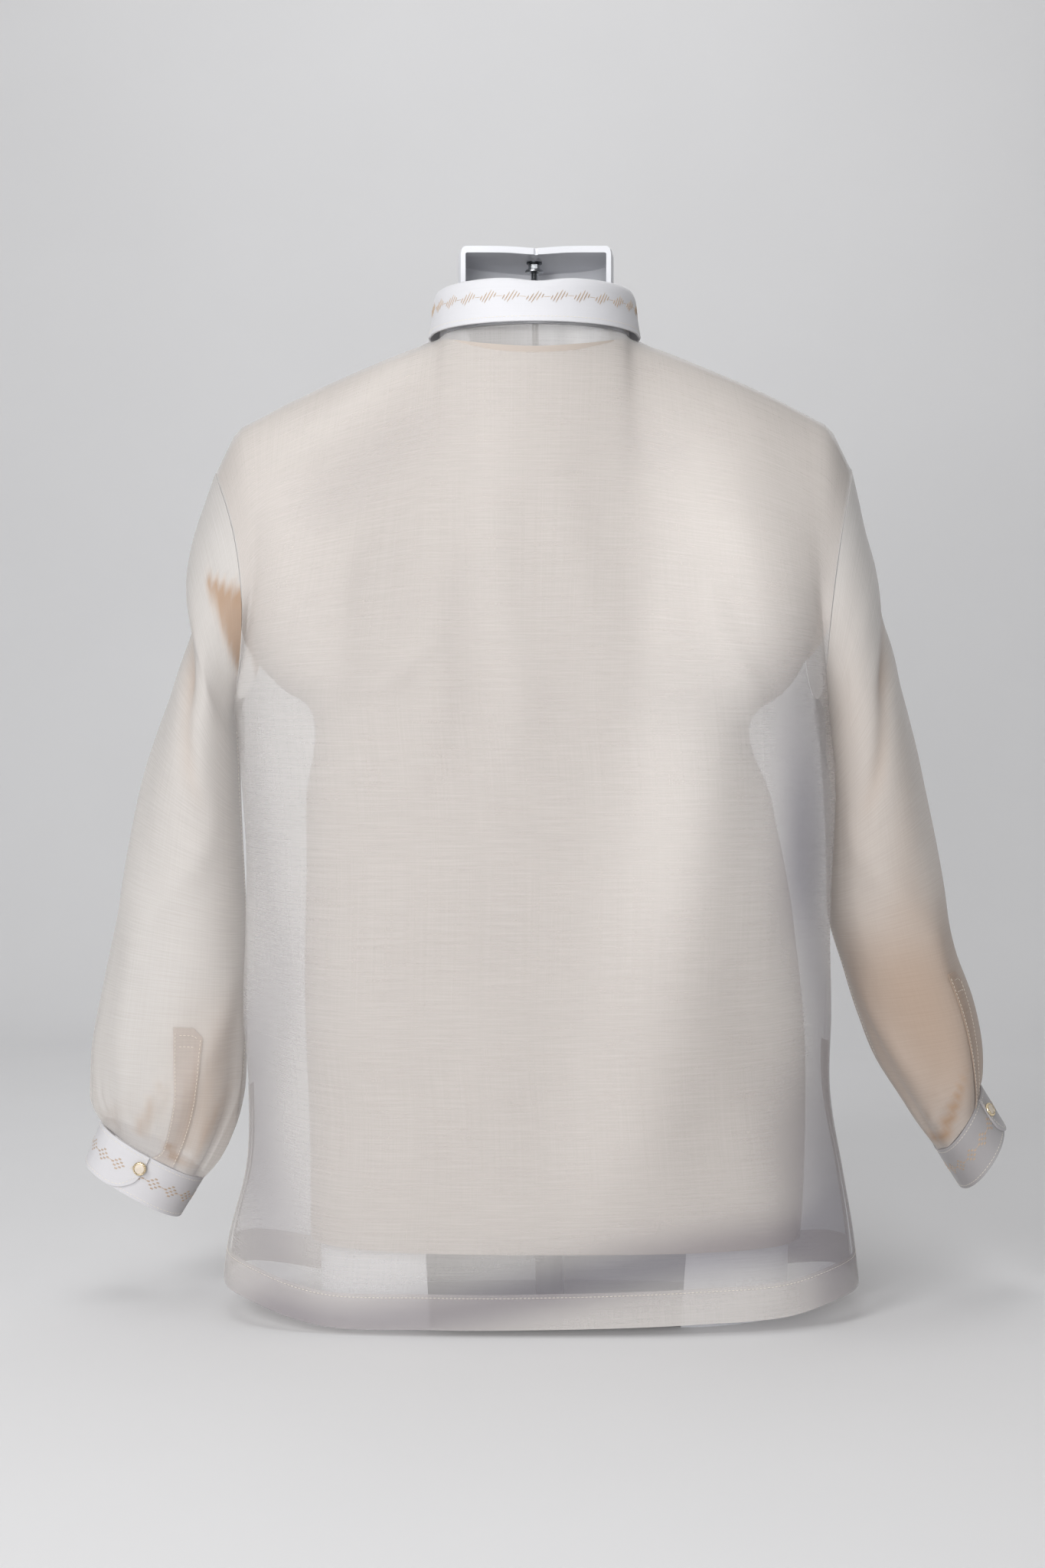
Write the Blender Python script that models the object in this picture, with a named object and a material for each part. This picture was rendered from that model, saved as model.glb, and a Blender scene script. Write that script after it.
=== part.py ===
"""Barong tagalog shirt on a hollow-backed torso form.

The shirt's back faces -Y, its front +Y, and the form's lower rim stands on z = 0.
Every piece of cloth is a thin wall on a grid of points: rows run down the cloth and
columns run across it. Neighbouring pieces share a seam line and its normals, and lie
SEAM apart. Strips on a panel are made from the panel's own points, moved in or out.
"""

import math

import bmesh
import bpy
import numpy as np
from mathutils import Vector

# Cloth thicknesses and gaps
SEAM = 0.0003
SHEER = 0.0012
STRIP = 0.0010
LINING = 0.0010
STIFF = 0.0018

# Garment sizes
ARMPIT_Z = 0.470
HEM_BAND = 0.026
PLACKET = 0.030
CUFF_HEIGHT = 0.034
BUTTON_RADIUS = 0.0055
BUTTON_HEIGHT = 0.0030

# Grid sizes, and where the panels' second column runs, along the vent facings' inner edge
PANEL_COLUMNS = 20
FACING_SHARE = 0.028
SHOULDER_COLUMNS = 7
SEAM_STEPS = 14
BODY_STEPS = 7
EASING_PASSES = 12
CUFF_COLUMNS = 24
CUFF_ROWS = 4

# Body below the armpits: height, side seams' x, depth behind and in front of the
# side seams, and how far each vent edge stands off the side seam's plane
BODY = (
    # z, left, right, back, front, vent
    (0.000, -0.2470, 0.2440, 0.099, 0.104, 0.0110),
    (0.040, -0.2445, 0.2400, 0.100, 0.105, 0.0095),
    (0.090, -0.2350, 0.2340, 0.101, 0.107, 0.0060),
    (0.135, -0.2240, 0.2240, 0.102, 0.108, 0.0025),
    (0.180, -0.2290, 0.2180, 0.102, 0.109, 0.0000),
    (0.240, -0.2320, 0.2195, 0.103, 0.110, 0.0000),
    (0.300, -0.2300, 0.2205, 0.104, 0.111, 0.0000),
    (0.380, -0.2305, 0.2205, 0.106, 0.112, 0.0000),
    (0.440, -0.2350, 0.2175, 0.108, 0.113, 0.0000),
    (0.470, -0.2360, 0.2130, 0.109, 0.113, 0.0000),
)
BACK_FULLNESS = 3.0
FRONT_FULLNESS = 2.4

# How the shoulders round over into the body, and how locally the armholes pull
SHOULDER_ROUND = 1.2
SHOULDER_REACH = 2.4
ARMHOLE_PULL = 3

# Height of the hem across the shirt, which lifts where the vents' corners swing out
HEM = (
    # x, z
    (-0.248, 0.0300),
    (-0.215, 0.0190),
    (-0.180, 0.0080),
    (-0.100, 0.0050),
    (0.000, 0.0055),
    (0.110, 0.0090),
    (0.165, 0.0120),
    (0.205, 0.0220),
    (0.248, 0.0320),
)

# Neck seam: an oval, highest at the sides
NECK_X = -0.0070
NECK_A = 0.0755
NECK_B = 0.0740
NECK_SIDE_Z = 0.7490
NECK_BACK_Z = 0.7475
NECK_FRONT_Z = 0.6960
SHOULDER_Y = 0.002

# Fall of the shoulder seam from the neck to the shoulder's end
SHOULDER_FALL = (
    # share of the seam's run, share of its height that is left
    (0.00, 1.000),
    (0.32, 0.780),
    (0.53, 0.630),
    (0.67, 0.533),
    (0.79, 0.440),
    (0.885, 0.285),
    (0.953, 0.140),
    (1.00, 0.000),
)

# Sleeves: rings from the armhole to the cuff. Each is an oval through an outer and an
# inner point, with a half depth, a middle y, and a bow of its front and back inwards
LEFT_SLEEVE = (
    # outer x, outer z, inner x, inner z, half depth, middle y, bow, pleats
    (-0.2530, 0.6445, -0.2360, 0.4700, 0.085, 0.000, 0.0190, 0.0000),
    (-0.2620, 0.6200, -0.2385, 0.4640, 0.086, 0.001, 0.0120, 0.0000),
    (-0.2700, 0.5950, -0.2395, 0.4560, 0.086, 0.003, 0.0050, 0.0000),
    (-0.2745, 0.5650, -0.2400, 0.4460, 0.085, 0.005, 0.0000, 0.0000),
    (-0.2720, 0.5370, -0.2395, 0.4330, 0.084, 0.008, 0.0000, 0.0000),
    (-0.2875, 0.4780, -0.2390, 0.4020, 0.081, 0.013, 0.0000, 0.0000),
    (-0.3120, 0.4000, -0.2370, 0.3550, 0.075, 0.019, 0.0000, 0.0000),
    (-0.3250, 0.3440, -0.2350, 0.3120, 0.069, 0.023, 0.0000, 0.0000),
    (-0.3360, 0.2950, -0.2345, 0.2740, 0.064, 0.026, 0.0000, 0.0003),
    (-0.3470, 0.2440, -0.2350, 0.2320, 0.060, 0.028, 0.0000, 0.0006),
    (-0.3550, 0.2000, -0.2355, 0.1930, 0.056, 0.029, 0.0000, 0.0012),
    (-0.3555, 0.1720, -0.2390, 0.1560, 0.051, 0.030, 0.0000, 0.0022),
    (-0.3540, 0.1540, -0.2480, 0.1290, 0.043, 0.030, 0.0000, 0.0032),
    (-0.3500, 0.1450, -0.2590, 0.1075, 0.035, 0.030, 0.0000, 0.0030),
    (-0.3480, 0.1400, -0.2680, 0.0950, 0.030, 0.030, 0.0000, 0.0012),
)
RIGHT_SLEEVE = (
    # outer x, outer z, inner x, inner z, half depth, middle y, bow, pleats
    (0.2365, 0.6480, 0.2130, 0.4700, 0.085, 0.000, -0.0090, 0.0000),
    (0.2420, 0.6260, 0.2155, 0.4640, 0.086, 0.001, -0.0060, 0.0000),
    (0.2470, 0.6020, 0.2165, 0.4560, 0.086, 0.003, -0.0020, 0.0000),
    (0.2540, 0.5780, 0.2175, 0.4460, 0.085, 0.005, 0.0000, 0.0000),
    (0.2595, 0.5530, 0.2185, 0.4330, 0.084, 0.008, 0.0000, 0.0000),
    (0.2715, 0.5050, 0.2205, 0.4080, 0.082, 0.013, 0.0000, 0.0000),
    (0.2815, 0.4600, 0.2225, 0.3800, 0.079, 0.017, 0.0000, 0.0000),
    (0.2970, 0.3920, 0.2240, 0.3400, 0.074, 0.021, 0.0000, 0.0000),
    (0.3110, 0.3300, 0.2255, 0.2980, 0.069, 0.024, 0.0000, 0.0002),
    (0.3225, 0.2780, 0.2370, 0.2600, 0.065, 0.026, 0.0000, 0.0005),
    (0.3380, 0.2350, 0.2500, 0.2200, 0.061, 0.027, 0.0000, 0.0010),
    (0.3440, 0.2030, 0.2660, 0.1830, 0.057, 0.028, 0.0000, 0.0018),
    (0.3440, 0.1840, 0.2840, 0.1560, 0.053, 0.028, 0.0000, 0.0026),
    (0.3425, 0.1740, 0.2990, 0.1330, 0.048, 0.028, 0.0000, 0.0026),
    (0.3405, 0.1690, 0.3095, 0.1180, 0.044, 0.028, 0.0000, 0.0010),
)
PLEATS = 9
PLEAT_SHIFT = 2.2
RING_FULLNESS = 2.15
RING_TILT = 0.18

# Cuffs: their lower ring as outer x and z, inner x and z, half depth and middle y, and
# where the far end of the band's overlap lies, counted round from the outer side
LEFT_CUFF_LOW = (-0.3610, 0.1070, -0.2870, 0.0640, 0.028, 0.030)
RIGHT_CUFF_LOW = (0.3610, 0.1350, 0.3290, 0.0875, 0.041, 0.028)
LEFT_OVERLAP_END = math.radians(93)
RIGHT_OVERLAP_END = math.radians(48)
OVERLAP_ANGLE = math.radians(42)
OVERLAP_EASE = 0.6
CUFF_LIFT = 0.0008
CUFF_CORNER = 0.020

# Strips: the plackets' top rows and columns on their grids, the facings' top rows
FRONT_COLUMN_WIDTH = 0.0310
FRONT_PLACKET_TOP = 0.1
FRONT_HEM_GAP = 0.006
SLEEVE_PLACKETS = (
    # side, top row, first column, middle column, last column
    ("left", 9.4, 7.9, 8.5, 9),
    ("right", 9.3, 3.4, 4, 4.6),
)
SLEEVE_PLACKET_LIFT = 0.0007
SLEEVE_PLACKET_END = 1.25
FACING_TOP_LEFT = SEAM_STEPS + 5
FACING_TOP_RIGHT = SEAM_STEPS + 4.4

# Buttons: the rows of the front ones, and the place of the cuffs' on their grids
BUTTON_SEAT = 0.0006
FRONT_BUTTON_ROWS = (3, 8.6, 14.4, 16, 17.6)
CUFF_BUTTON_ROW = 1.35
CUFF_BUTTON_COLUMN = 2.4

# Lining: hangs inside the shirt, closer to the form, and ends above the hem
LINING_BODY = (
    # z, left, right, back, front
    (0.057, -0.1800, 0.1980, 0.0950, 0.0990),
    (0.155, -0.1805, 0.2015, 0.0970, 0.1010),
    (0.240, -0.1815, 0.1985, 0.0985, 0.1030),
    (0.300, -0.1820, 0.1895, 0.0995, 0.1045),
    (0.360, -0.1830, 0.1765, 0.1005, 0.1060),
    (0.430, -0.1850, 0.1630, 0.1030, 0.1070),
    (0.470, -0.1880, 0.1620, 0.1040, 0.1075),
)
LINING_INSET = 0.0017
LINING_HEM_Z = 0.057
LINING_STEPS = 5
LINING_FULLNESS = 2.8
NECK_DIP_ROWS = 2.3
LINING_DRIFT_START = 0.6

# Torso form: full oval sections, of which the part behind FORM_RIM is cut away
FORM = (
    # z, left, right, back, front
    (0.000, -0.1720, 0.1880, 0.0880, 0.0900),
    (0.080, -0.1725, 0.1900, 0.0890, 0.0920),
    (0.160, -0.1730, 0.1935, 0.0900, 0.0940),
    (0.240, -0.1740, 0.1905, 0.0915, 0.0955),
    (0.320, -0.1750, 0.1780, 0.0925, 0.0975),
    (0.400, -0.1765, 0.1600, 0.0940, 0.0990),
    (0.480, -0.1800, 0.1550, 0.0950, 0.0990),
    (0.550, -0.1890, 0.1700, 0.0930, 0.0950),
    (0.610, -0.1990, 0.1840, 0.0880, 0.0880),
    (0.6555, -0.2050, 0.1900, 0.0780, 0.0760),
    (0.6810, -0.2000, 0.1850, 0.0660, 0.0640),
    (0.7024, -0.1810, 0.1660, 0.0560, 0.0550),
    (0.7160, -0.1500, 0.1360, 0.0500, 0.0490),
    (0.7284, -0.1190, 0.1050, 0.0450, 0.0450),
    (0.7360, -0.0870, 0.0730, 0.0420, 0.0410),
    (0.7450, -0.0730, 0.0585, 0.0450, 0.0420),
    (0.7550, -0.0690, 0.0560, 0.0550, 0.0440),
    (0.775, -0.0665, 0.0542, 0.0650, 0.0455),
    (0.8100, -0.0665, 0.0542, 0.0650, 0.0455),
    (0.8142, -0.0655, 0.0532, 0.0640, 0.0445),
    (0.8158, -0.0635, 0.0512, 0.0620, 0.0425),
)
FORM_RIM = (
    # z, y
    (-0.050, -0.0780),
    (0.600, -0.0780),
    (0.655, -0.0660),
    (0.690, -0.0480),
    (0.726, -0.0350),
    (0.752, -0.0290),
    (0.900, -0.0280),
)
FORM_FULLNESS = 2.6
FORM_COLUMNS = 30
FORM_WALL = 0.0034
NECK_PLATE = 0.0050

# How far the form's cutters reach past it
BELOW_FORM = -0.02
BEHIND = -0.25
ASIDE = 0.30

# Post and rod inside the form
POST_RADIUS = 0.0110
POST_FOOT = (0.0050, 0.0, 0.0003)
POST_TOP = (-0.0062, 0.0, 0.735)
ROD_RADIUS = 0.0027
ROD_TOP = (-0.0073, 0.0, 0.8105)
RING_HOLE = 0.0034
RINGS = (
    # name, radius, low z, high z, sides
    ("spacer", 0.0060, 0.8079, 0.8105, 12),
    ("nut", 0.0045, 0.8035, 0.8076, 6),
    ("washer", 0.0070, 0.8012, 0.8032, 12),
)

# Collar: a stand, and a fall that folds over it
STAND_HEIGHT = 0.027
STAND_LEAN = 0.0035
FOLD_RISE = 0.0015
FOLD_RADIUS = 0.0037
FALL_DROP = 0.0275
FALL_SPREAD = 0.0085
POINT_DROP = 0.0160
POINT_SPREAD = 0.0200
SIDE_LIFT = 0.0120
COLLAR_STEP = math.radians(12)
COLLAR_FRONT_GAP = math.radians(4)
STAND_ROWS = 3
FOLD_STEPS = 3
FALL_ROWS = 2

# Colours
CLOTH = (0.78, 0.71, 0.62)
CLOTH_BAND = (0.80, 0.74, 0.66)
LINING_COLOUR = (0.72, 0.62, 0.50)
COLLAR_COLOUR = (0.84, 0.83, 0.85)
CUFF_COLOUR = (0.62, 0.58, 0.57)
FORM_COLOUR = (0.60, 0.61, 0.66)
METAL = (0.45, 0.46, 0.47)
POST_COLOUR = (0.10, 0.10, 0.11)
BUTTON_COLOUR = (0.66, 0.53, 0.32)


# Shared tools

for leftover in list(bpy.data.objects):
    bpy.data.objects.remove(leftover)


def smooth(table, key):
    """A row of the table at the given value of its first column, on a smooth curve."""
    rows = np.array(table, float)
    keys = rows[:, 0]
    slopes = np.gradient(rows, keys, axis=0)
    i = int(np.clip(np.searchsorted(keys, key) - 1, 0, len(keys) - 2))
    run = keys[i + 1] - keys[i]
    t = float(np.clip((key - keys[i]) / run, 0, 1))
    start, end = rows[i], rows[i + 1]
    rise = (2 * t**3 - 3 * t**2 + 1) * start + (3 * t**2 - 2 * t**3) * end
    bend = (t**3 - 2 * t**2 + t) * slopes[i] + (t**3 - t**2) * slopes[i + 1]
    return rise + run * bend


def rounded(value, fullness):
    """A cosine or sine turned into a superellipse's."""
    return math.copysign(abs(value) ** (2 / fullness), value)


def material(name, colour, roughness=0.85, metallic=0.0):
    made = bpy.data.materials.new(name)
    made.use_nodes = True
    shader = made.node_tree.nodes["Principled BSDF"]
    shader.inputs["Base Color"].default_value = (*colour, 1)
    shader.inputs["Roughness"].default_value = roughness
    shader.inputs["Metallic"].default_value = metallic
    return made


def piece(name, points, faces, finish):
    mesh = bpy.data.meshes.new(name)
    mesh.from_pydata([tuple(p) for p in points], [], faces)
    mesh.materials.append(finish)
    mesh.shade_smooth()
    mesh.set_sharp_from_angle(angle=math.radians(50))
    made = bpy.data.objects.new(name, mesh)
    bpy.context.collection.objects.link(made)
    return made


def unit(vectors):
    lengths = np.linalg.norm(vectors, axis=-1, keepdims=True)
    return vectors / np.maximum(lengths, 1e-12)


def normals_of(grid, closed=False):
    """Unit normals of a grid, outward where its columns run to the right seen from outside."""
    down = np.gradient(grid, axis=0)
    if closed:
        across = (np.roll(grid, -1, axis=1) - np.roll(grid, 1, axis=1)) / 2
    else:
        across = np.gradient(grid, axis=1)
    return unit(np.cross(down, across))


def wall(name, grid, normals, outer, inner, finish, closed=False):
    """A solid wall between two offsets of a grid, outer and inner, along its normals."""
    if np.sum(normals_of(grid, closed) * normals) < 0:
        grid, normals = grid[:, ::-1], normals[:, ::-1]
    rows, columns = grid.shape[:2]
    skins = [grid + normals * outer, grid + normals * inner]
    points = np.concatenate([skin.reshape(-1, 3) for skin in skins])
    under = rows * columns
    faces = []

    def quad(a, b, c, d):
        faces.append((a, b, c))
        faces.append((a, c, d))

    def at(row, column, skin=0):
        return skin * under + row * columns + column % columns

    spans = columns if closed else columns - 1
    for row in range(rows - 1):
        for column in range(spans):
            cell = (
                (row, column),
                (row + 1, column),
                (row + 1, column + 1),
                (row, column + 1),
            )
            a, b, c, d = (at(r, k) for r, k in cell)
            quad(a, b, c, d)
            e, f, g, h = (at(r, k, 1) for r, k in cell)
            faces.append((g, f, e))
            faces.append((h, g, e))
    for column in range(spans):
        top = at(0, column), at(0, column + 1)
        quad(top[0], top[1], top[1] + under, top[0] + under)
        low = at(rows - 1, column), at(rows - 1, column + 1)
        quad(low[1], low[0], low[0] + under, low[1] + under)
    if not closed:
        for row in range(rows - 1):
            first = at(row, 0), at(row + 1, 0)
            quad(first[1], first[0], first[0] + under, first[1] + under)
            last = at(row, columns - 1), at(row + 1, columns - 1)
            quad(last[0], last[1], last[1] + under, last[0] + under)
    return piece(name, points, faces, finish)


# Materials

cloth = material("sheer cloth", CLOTH)
band_cloth = material("folded cloth", CLOTH_BAND)
lining_cloth = material("lining cloth", LINING_COLOUR)
collar_cloth = material("collar cloth", COLLAR_COLOUR)
cuff_cloth = material("cuff cloth", CUFF_COLOUR)
form_plastic = material("form plastic", FORM_COLOUR, 0.45)
steel = material("plated steel", METAL, 0.3, 1.0)
post_paint = material("post paint", POST_COLOUR, 0.5)
button_shell = material("button", BUTTON_COLOUR, 0.3)


# Seam lines


def neck_point(turn):
    """The neck seam: 0 at the left side, a quarter turn at the middle of the back."""
    lift = NECK_BACK_Z if math.sin(turn) > 0 else NECK_FRONT_Z
    return np.array(
        (
            NECK_X - NECK_A * math.cos(turn),
            SHOULDER_Y - NECK_B * math.sin(turn),
            NECK_SIDE_Z + (lift - NECK_SIDE_Z) * math.sin(turn) ** 2,
        )
    )


def ring_point(row, turn, pleated=True):
    """A sleeve ring: 0 at its outer point, a quarter turn at the back."""
    outer_x, outer_z, inner_x, inner_z, half_depth, middle_y, bow, pleats = row
    along = rounded(math.cos(turn), RING_FULLNESS)
    depth = rounded(math.sin(turn), RING_FULLNESS)
    if pleated:
        swell = 1 + pleats / half_depth * math.cos(PLEATS * turn + PLEAT_SHIFT * math.sin(2 * turn))
        along *= swell
        depth *= swell
    lean = RING_TILT * half_depth * min(1, 0.5 - outer_z)
    return np.array(
        (
            (outer_x + inner_x) / 2 + (outer_x - inner_x) / 2 * along + bow * math.sin(turn) ** 2,
            middle_y - half_depth * depth,
            (outer_z + inner_z) / 2
            + (outer_z - inner_z) / 2 * along
            - max(0, lean) * depth,
        )
    )


def shoulder_point(share, tip, neck):
    """A point of the shoulder seam, from the tip at 0 to the neck at 1."""
    run = 1 - share
    keys, left = zip(*SHOULDER_FALL)
    height = float(np.interp(run, keys, left))
    return np.array(
        (
            neck[0] + (tip[0] - neck[0]) * run,
            neck[1] + (tip[1] - neck[1]) * run,
            tip[2] + (neck[2] - tip[2]) * height,
        )
    )


# Body panels

SEAM_TURNS = [math.pi * i / SEAM_STEPS for i in range(SEAM_STEPS + 1)]
NECK_STEP = math.pi / (PANEL_COLUMNS - 2 * SHOULDER_COLUMNS)


def half_section(left, right, depth, seam_y, fullness):
    """Half of a level section from the left side seam to the right one."""
    middle, half = (left + right) / 2, (right - left) / 2
    points = [
        (
            middle - half * rounded(math.cos(t), fullness),
            seam_y + depth * abs(math.sin(t)) ** (2 / fullness),
        )
        for t in np.linspace(0, math.pi, 121)
    ]
    return np.array(points)


def along_section(points, share):
    lengths = np.linalg.norm(np.diff(points, axis=0), axis=1)
    run = np.concatenate([[0], np.cumsum(lengths)])
    at = share * run[-1]
    return np.array([np.interp(at, run, points[:, k]) for k in range(2)])


def column_shares():
    """Where the columns cross the panel, with a line at each facing's inner edge."""
    inside = np.linspace(FACING_SHARE, 1 - FACING_SHARE, PANEL_COLUMNS - 1)
    return np.concatenate([[0], inside, [1]])


def body_point(z, share, behind):
    """A point of the shirt's back (or front) below the armpits."""
    _, left, right, back, front, vent = smooth(BODY, z)
    vent = max(0, vent)
    if behind:
        section = half_section(left, right, -back, -SEAM / 2 - vent, BACK_FULLNESS)
    else:
        section = half_section(left, right, front, SEAM / 2 + vent, FRONT_FULLNESS)
    x, y = along_section(section, share)
    return np.array((x, y, z))


def top_edge(column, behind):
    """The panel's top edge: shoulder seam, half of the neck seam, shoulder seam."""
    side = -1 if behind else 1
    gap = np.array((0, side * SEAM / 2, 0))
    from_right = PANEL_COLUMNS - column
    if column <= SHOULDER_COLUMNS:
        tip = ring_point(LEFT_SLEEVE[0], 0)
        return shoulder_point(column / SHOULDER_COLUMNS, tip, neck_point(0)) + gap
    if from_right <= SHOULDER_COLUMNS:
        tip = ring_point(RIGHT_SLEEVE[0], 0)
        return shoulder_point(from_right / SHOULDER_COLUMNS, tip, neck_point(math.pi)) + gap
    turn = NECK_STEP * (column - SHOULDER_COLUMNS)
    return neck_point(turn if behind else -turn) + gap


def panel_grid(behind):
    """The back (or the whole front) from its top edge to the hem."""
    side = 1 if behind else -1
    shares = column_shares()
    low = [body_point(ARMPIT_Z, share, behind) for share in shares]
    high = [top_edge(i, behind) for i in range(len(shares))]
    rows = []
    for turn in SEAM_TURNS:
        level = (1 + math.cos(turn)) / 2
        swing = math.acos(min(1, level**SHOULDER_ROUND))
        outward = math.sin(swing) ** (2 / SHOULDER_REACH)
        edges = [ring_point(sleeve[0], side * turn) for sleeve in (LEFT_SLEEVE, RIGHT_SLEEVE)]
        for edge in edges:
            edge[1] = -side * max(-side * edge[1], SEAM / 2)
        reach = np.array((1 - level, outward, 1 - level))
        row = np.array([start + (end - start) * reach for start, end in zip(high, low)])
        pulls = [edges[0] - row[0], edges[1] - row[-1]]
        for i, share in enumerate(shares):
            spread = abs(2 * share - 1) ** ARMHOLE_PULL
            row[i] = row[i] + pulls[0 if share < 0.5 else 1] * spread
        rows.append(row)
    hem = [smooth(HEM, point[0])[1] for point in low]
    band = [HEM_BAND / (ARMPIT_Z - z) for z in hem]
    steps = [(i + 1) / BODY_STEPS for i in range(BODY_STEPS)]
    for step in steps:
        row = []
        for i, share in enumerate(shares):
            drop = step * (1 - band[i])
            row.append(body_point(ARMPIT_Z + (hem[i] - ARMPIT_Z) * drop, share, behind))
        rows.append(np.array(row))
    for part in (0.5, 1.0):
        row = []
        for i, share in enumerate(shares):
            drop = 1 - band[i] * (1 - part)
            row.append(body_point(ARMPIT_Z + (hem[i] - ARMPIT_Z) * drop, share, behind))
        rows.append(np.array(row))
    return eased(np.array(rows))


def eased(grid):
    """Smooths the depth of the rows about the armpits, where shoulders meet the body."""
    rows = slice(SEAM_STEPS - 5, SEAM_STEPS + 2)
    above = slice(SEAM_STEPS - 6, SEAM_STEPS + 1)
    below = slice(SEAM_STEPS - 4, SEAM_STEPS + 3)
    for _ in range(EASING_PASSES):
        mean = (grid[above, 1:-1, 1] + grid[below, 1:-1, 1]) / 2
        grid[rows, 1:-1, 1] = (grid[rows, 1:-1, 1] + mean) / 2
    return grid


def settle_panel_normals(normals):
    """Turns the seam edges' normals into the planes that the neighbours share."""
    shoulder = list(range(SHOULDER_COLUMNS + 1))
    shoulder += list(range(PANEL_COLUMNS - SHOULDER_COLUMNS, PANEL_COLUMNS + 1))
    for column in shoulder:
        normals[0, column, 1] = 0
    normals[SEAM_STEPS:, 0, 1] = 0
    normals[SEAM_STEPS:, -1, 1] = 0
    return unit(normals)


back = panel_grid(True)
front = panel_grid(False)
back_normals = settle_panel_normals(normals_of(back))
front_normals = settle_panel_normals(-normals_of(front))
HEM_ROW = SEAM_STEPS + BODY_STEPS


# Sleeves


def sleeve_rows(sleeve):
    """The sleeve's rings, with the armhole's turns as columns, back first."""
    turns = SEAM_TURNS + [-turn for turn in reversed(SEAM_TURNS[1:-1])]
    return np.array([[ring_point(row, turn) for turn in turns] for row in sleeve])


def sleeve_grid(sleeve, side):
    grid = sleeve_rows(sleeve)
    grid[0] = grid[0] + np.array((side * 2 * SEAM, 0, 0))
    return grid, normals_of(grid, closed=True) * -side


def share_armhole(sleeve_normals, side):
    """Gives the armhole's edges one normal where panel and sleeve face the same way."""
    column = 0 if side < 0 else -1
    for panel_normals, turn_sign in ((back_normals, 1), (front_normals, -1)):
        for i in range(SEAM_STEPS + 1):
            own = panel_normals[i, column]
            k = i if turn_sign > 0 else (-i) % (2 * SEAM_STEPS)
            other = sleeve_normals[0, k]
            if own @ other > 0:
                both = own + other
                if i == 0:
                    both[1] = 0
                both = unit(both)
                panel_normals[i, column] = both
                sleeve_normals[0, k] = both


left_sleeve, left_normals = sleeve_grid(LEFT_SLEEVE, -1)
right_sleeve, right_normals = sleeve_grid(RIGHT_SLEEVE, 1)
share_armhole(left_normals, -1)
share_armhole(right_normals, 1)


def between(grid, row, column):
    """A point of the grid at a row and column that may lie between its own."""
    low_row, low_column = min(int(row), len(grid) - 2), min(int(column), grid.shape[1] - 2)
    r, c = row - low_row, column - low_column
    upper = grid[low_row, low_column] * (1 - c) + grid[low_row, low_column + 1] * c
    lower = grid[low_row + 1, low_column] * (1 - c) + grid[low_row + 1, low_column + 1] * c
    return upper * (1 - r) + lower * r


def patch(grid, normals, rows, columns):
    """The part of a grid at the given rows and columns, with its normals."""
    points = np.array([[between(grid, r, c) for c in columns] for r in rows])
    facing = np.array([[between(normals, r, c) for c in columns] for r in rows])
    return points, unit(facing)


# Panels and sleeves

MIDDLE = PANEL_COLUMNS // 2
LAST_ROW = len(back) - 1
half_gap = np.array((SEAM / 2, 0, 0))
front_left, front_right = front[:, : MIDDLE + 1].copy(), front[:, MIDDLE:].copy()
front_left[:, -1] -= half_gap
front_right[:, 0] += half_gap

wall("back", back, back_normals, 0, -SHEER, cloth)
wall("front_left", front_left, front_normals[:, : MIDDLE + 1], 0, -SHEER, cloth)
wall("front_right", front_right, front_normals[:, MIDDLE:], 0, -SHEER, cloth)
wall("sleeve_left", left_sleeve, left_normals, 0, -SHEER, cloth, closed=True)
wall("sleeve_right", right_sleeve, right_normals, 0, -SHEER, cloth, closed=True)

# Hem bands and vent facings, folded inside the panels

INSIDE = -SHEER - SEAM


def inner_strip(name, grid, normals, rows, columns):
    points, facing = patch(grid, normals, rows, columns)
    wall(name, points, facing, INSIDE, INSIDE - STRIP, band_cloth)


hem_rows = [HEM_ROW, HEM_ROW + 1, HEM_ROW + 2]
inner_strip("hem_back", back, back_normals, hem_rows, range(PANEL_COLUMNS + 1))
left_columns = [*range(MIDDLE), MIDDLE - FRONT_HEM_GAP]
right_columns = [MIDDLE + FRONT_HEM_GAP, *range(MIDDLE + 1, PANEL_COLUMNS + 1)]
inner_strip("hem_front_left", front, front_normals, hem_rows, left_columns)
inner_strip("hem_front_right", front, front_normals, hem_rows, right_columns)
row_height = (ARMPIT_Z - HEM_BAND) / BODY_STEPS
facing_end = HEM_ROW - SEAM / row_height * 1.5
facing_rows_left = [*range(FACING_TOP_LEFT, HEM_ROW), facing_end]
facing_rows_right = [FACING_TOP_RIGHT, *range(math.ceil(FACING_TOP_RIGHT), HEM_ROW), facing_end]
for panel_name, grid, normals in (("back", back, back_normals), ("front", front, front_normals)):
    name = f"vent_facing_{panel_name}"
    inner_strip(f"{name}_left", grid, normals, facing_rows_left, [0, 1])
    inner_strip(f"{name}_right", grid, normals, facing_rows_right, [PANEL_COLUMNS - 1, PANEL_COLUMNS])

# Front placket, on top of the two fronts

placket_half = PLACKET / 2 / FRONT_COLUMN_WIDTH
placket_columns = [MIDDLE - placket_half, MIDDLE, MIDDLE + placket_half]
placket_rows = [FRONT_PLACKET_TOP, *range(1, LAST_ROW + 1)]
placket_points, placket_normals = patch(front, front_normals, placket_rows, placket_columns)
wall("front_placket", placket_points, placket_normals, SEAM + STRIP, SEAM, band_cloth)

# Sleeve plackets, on top of the sleeves

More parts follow.
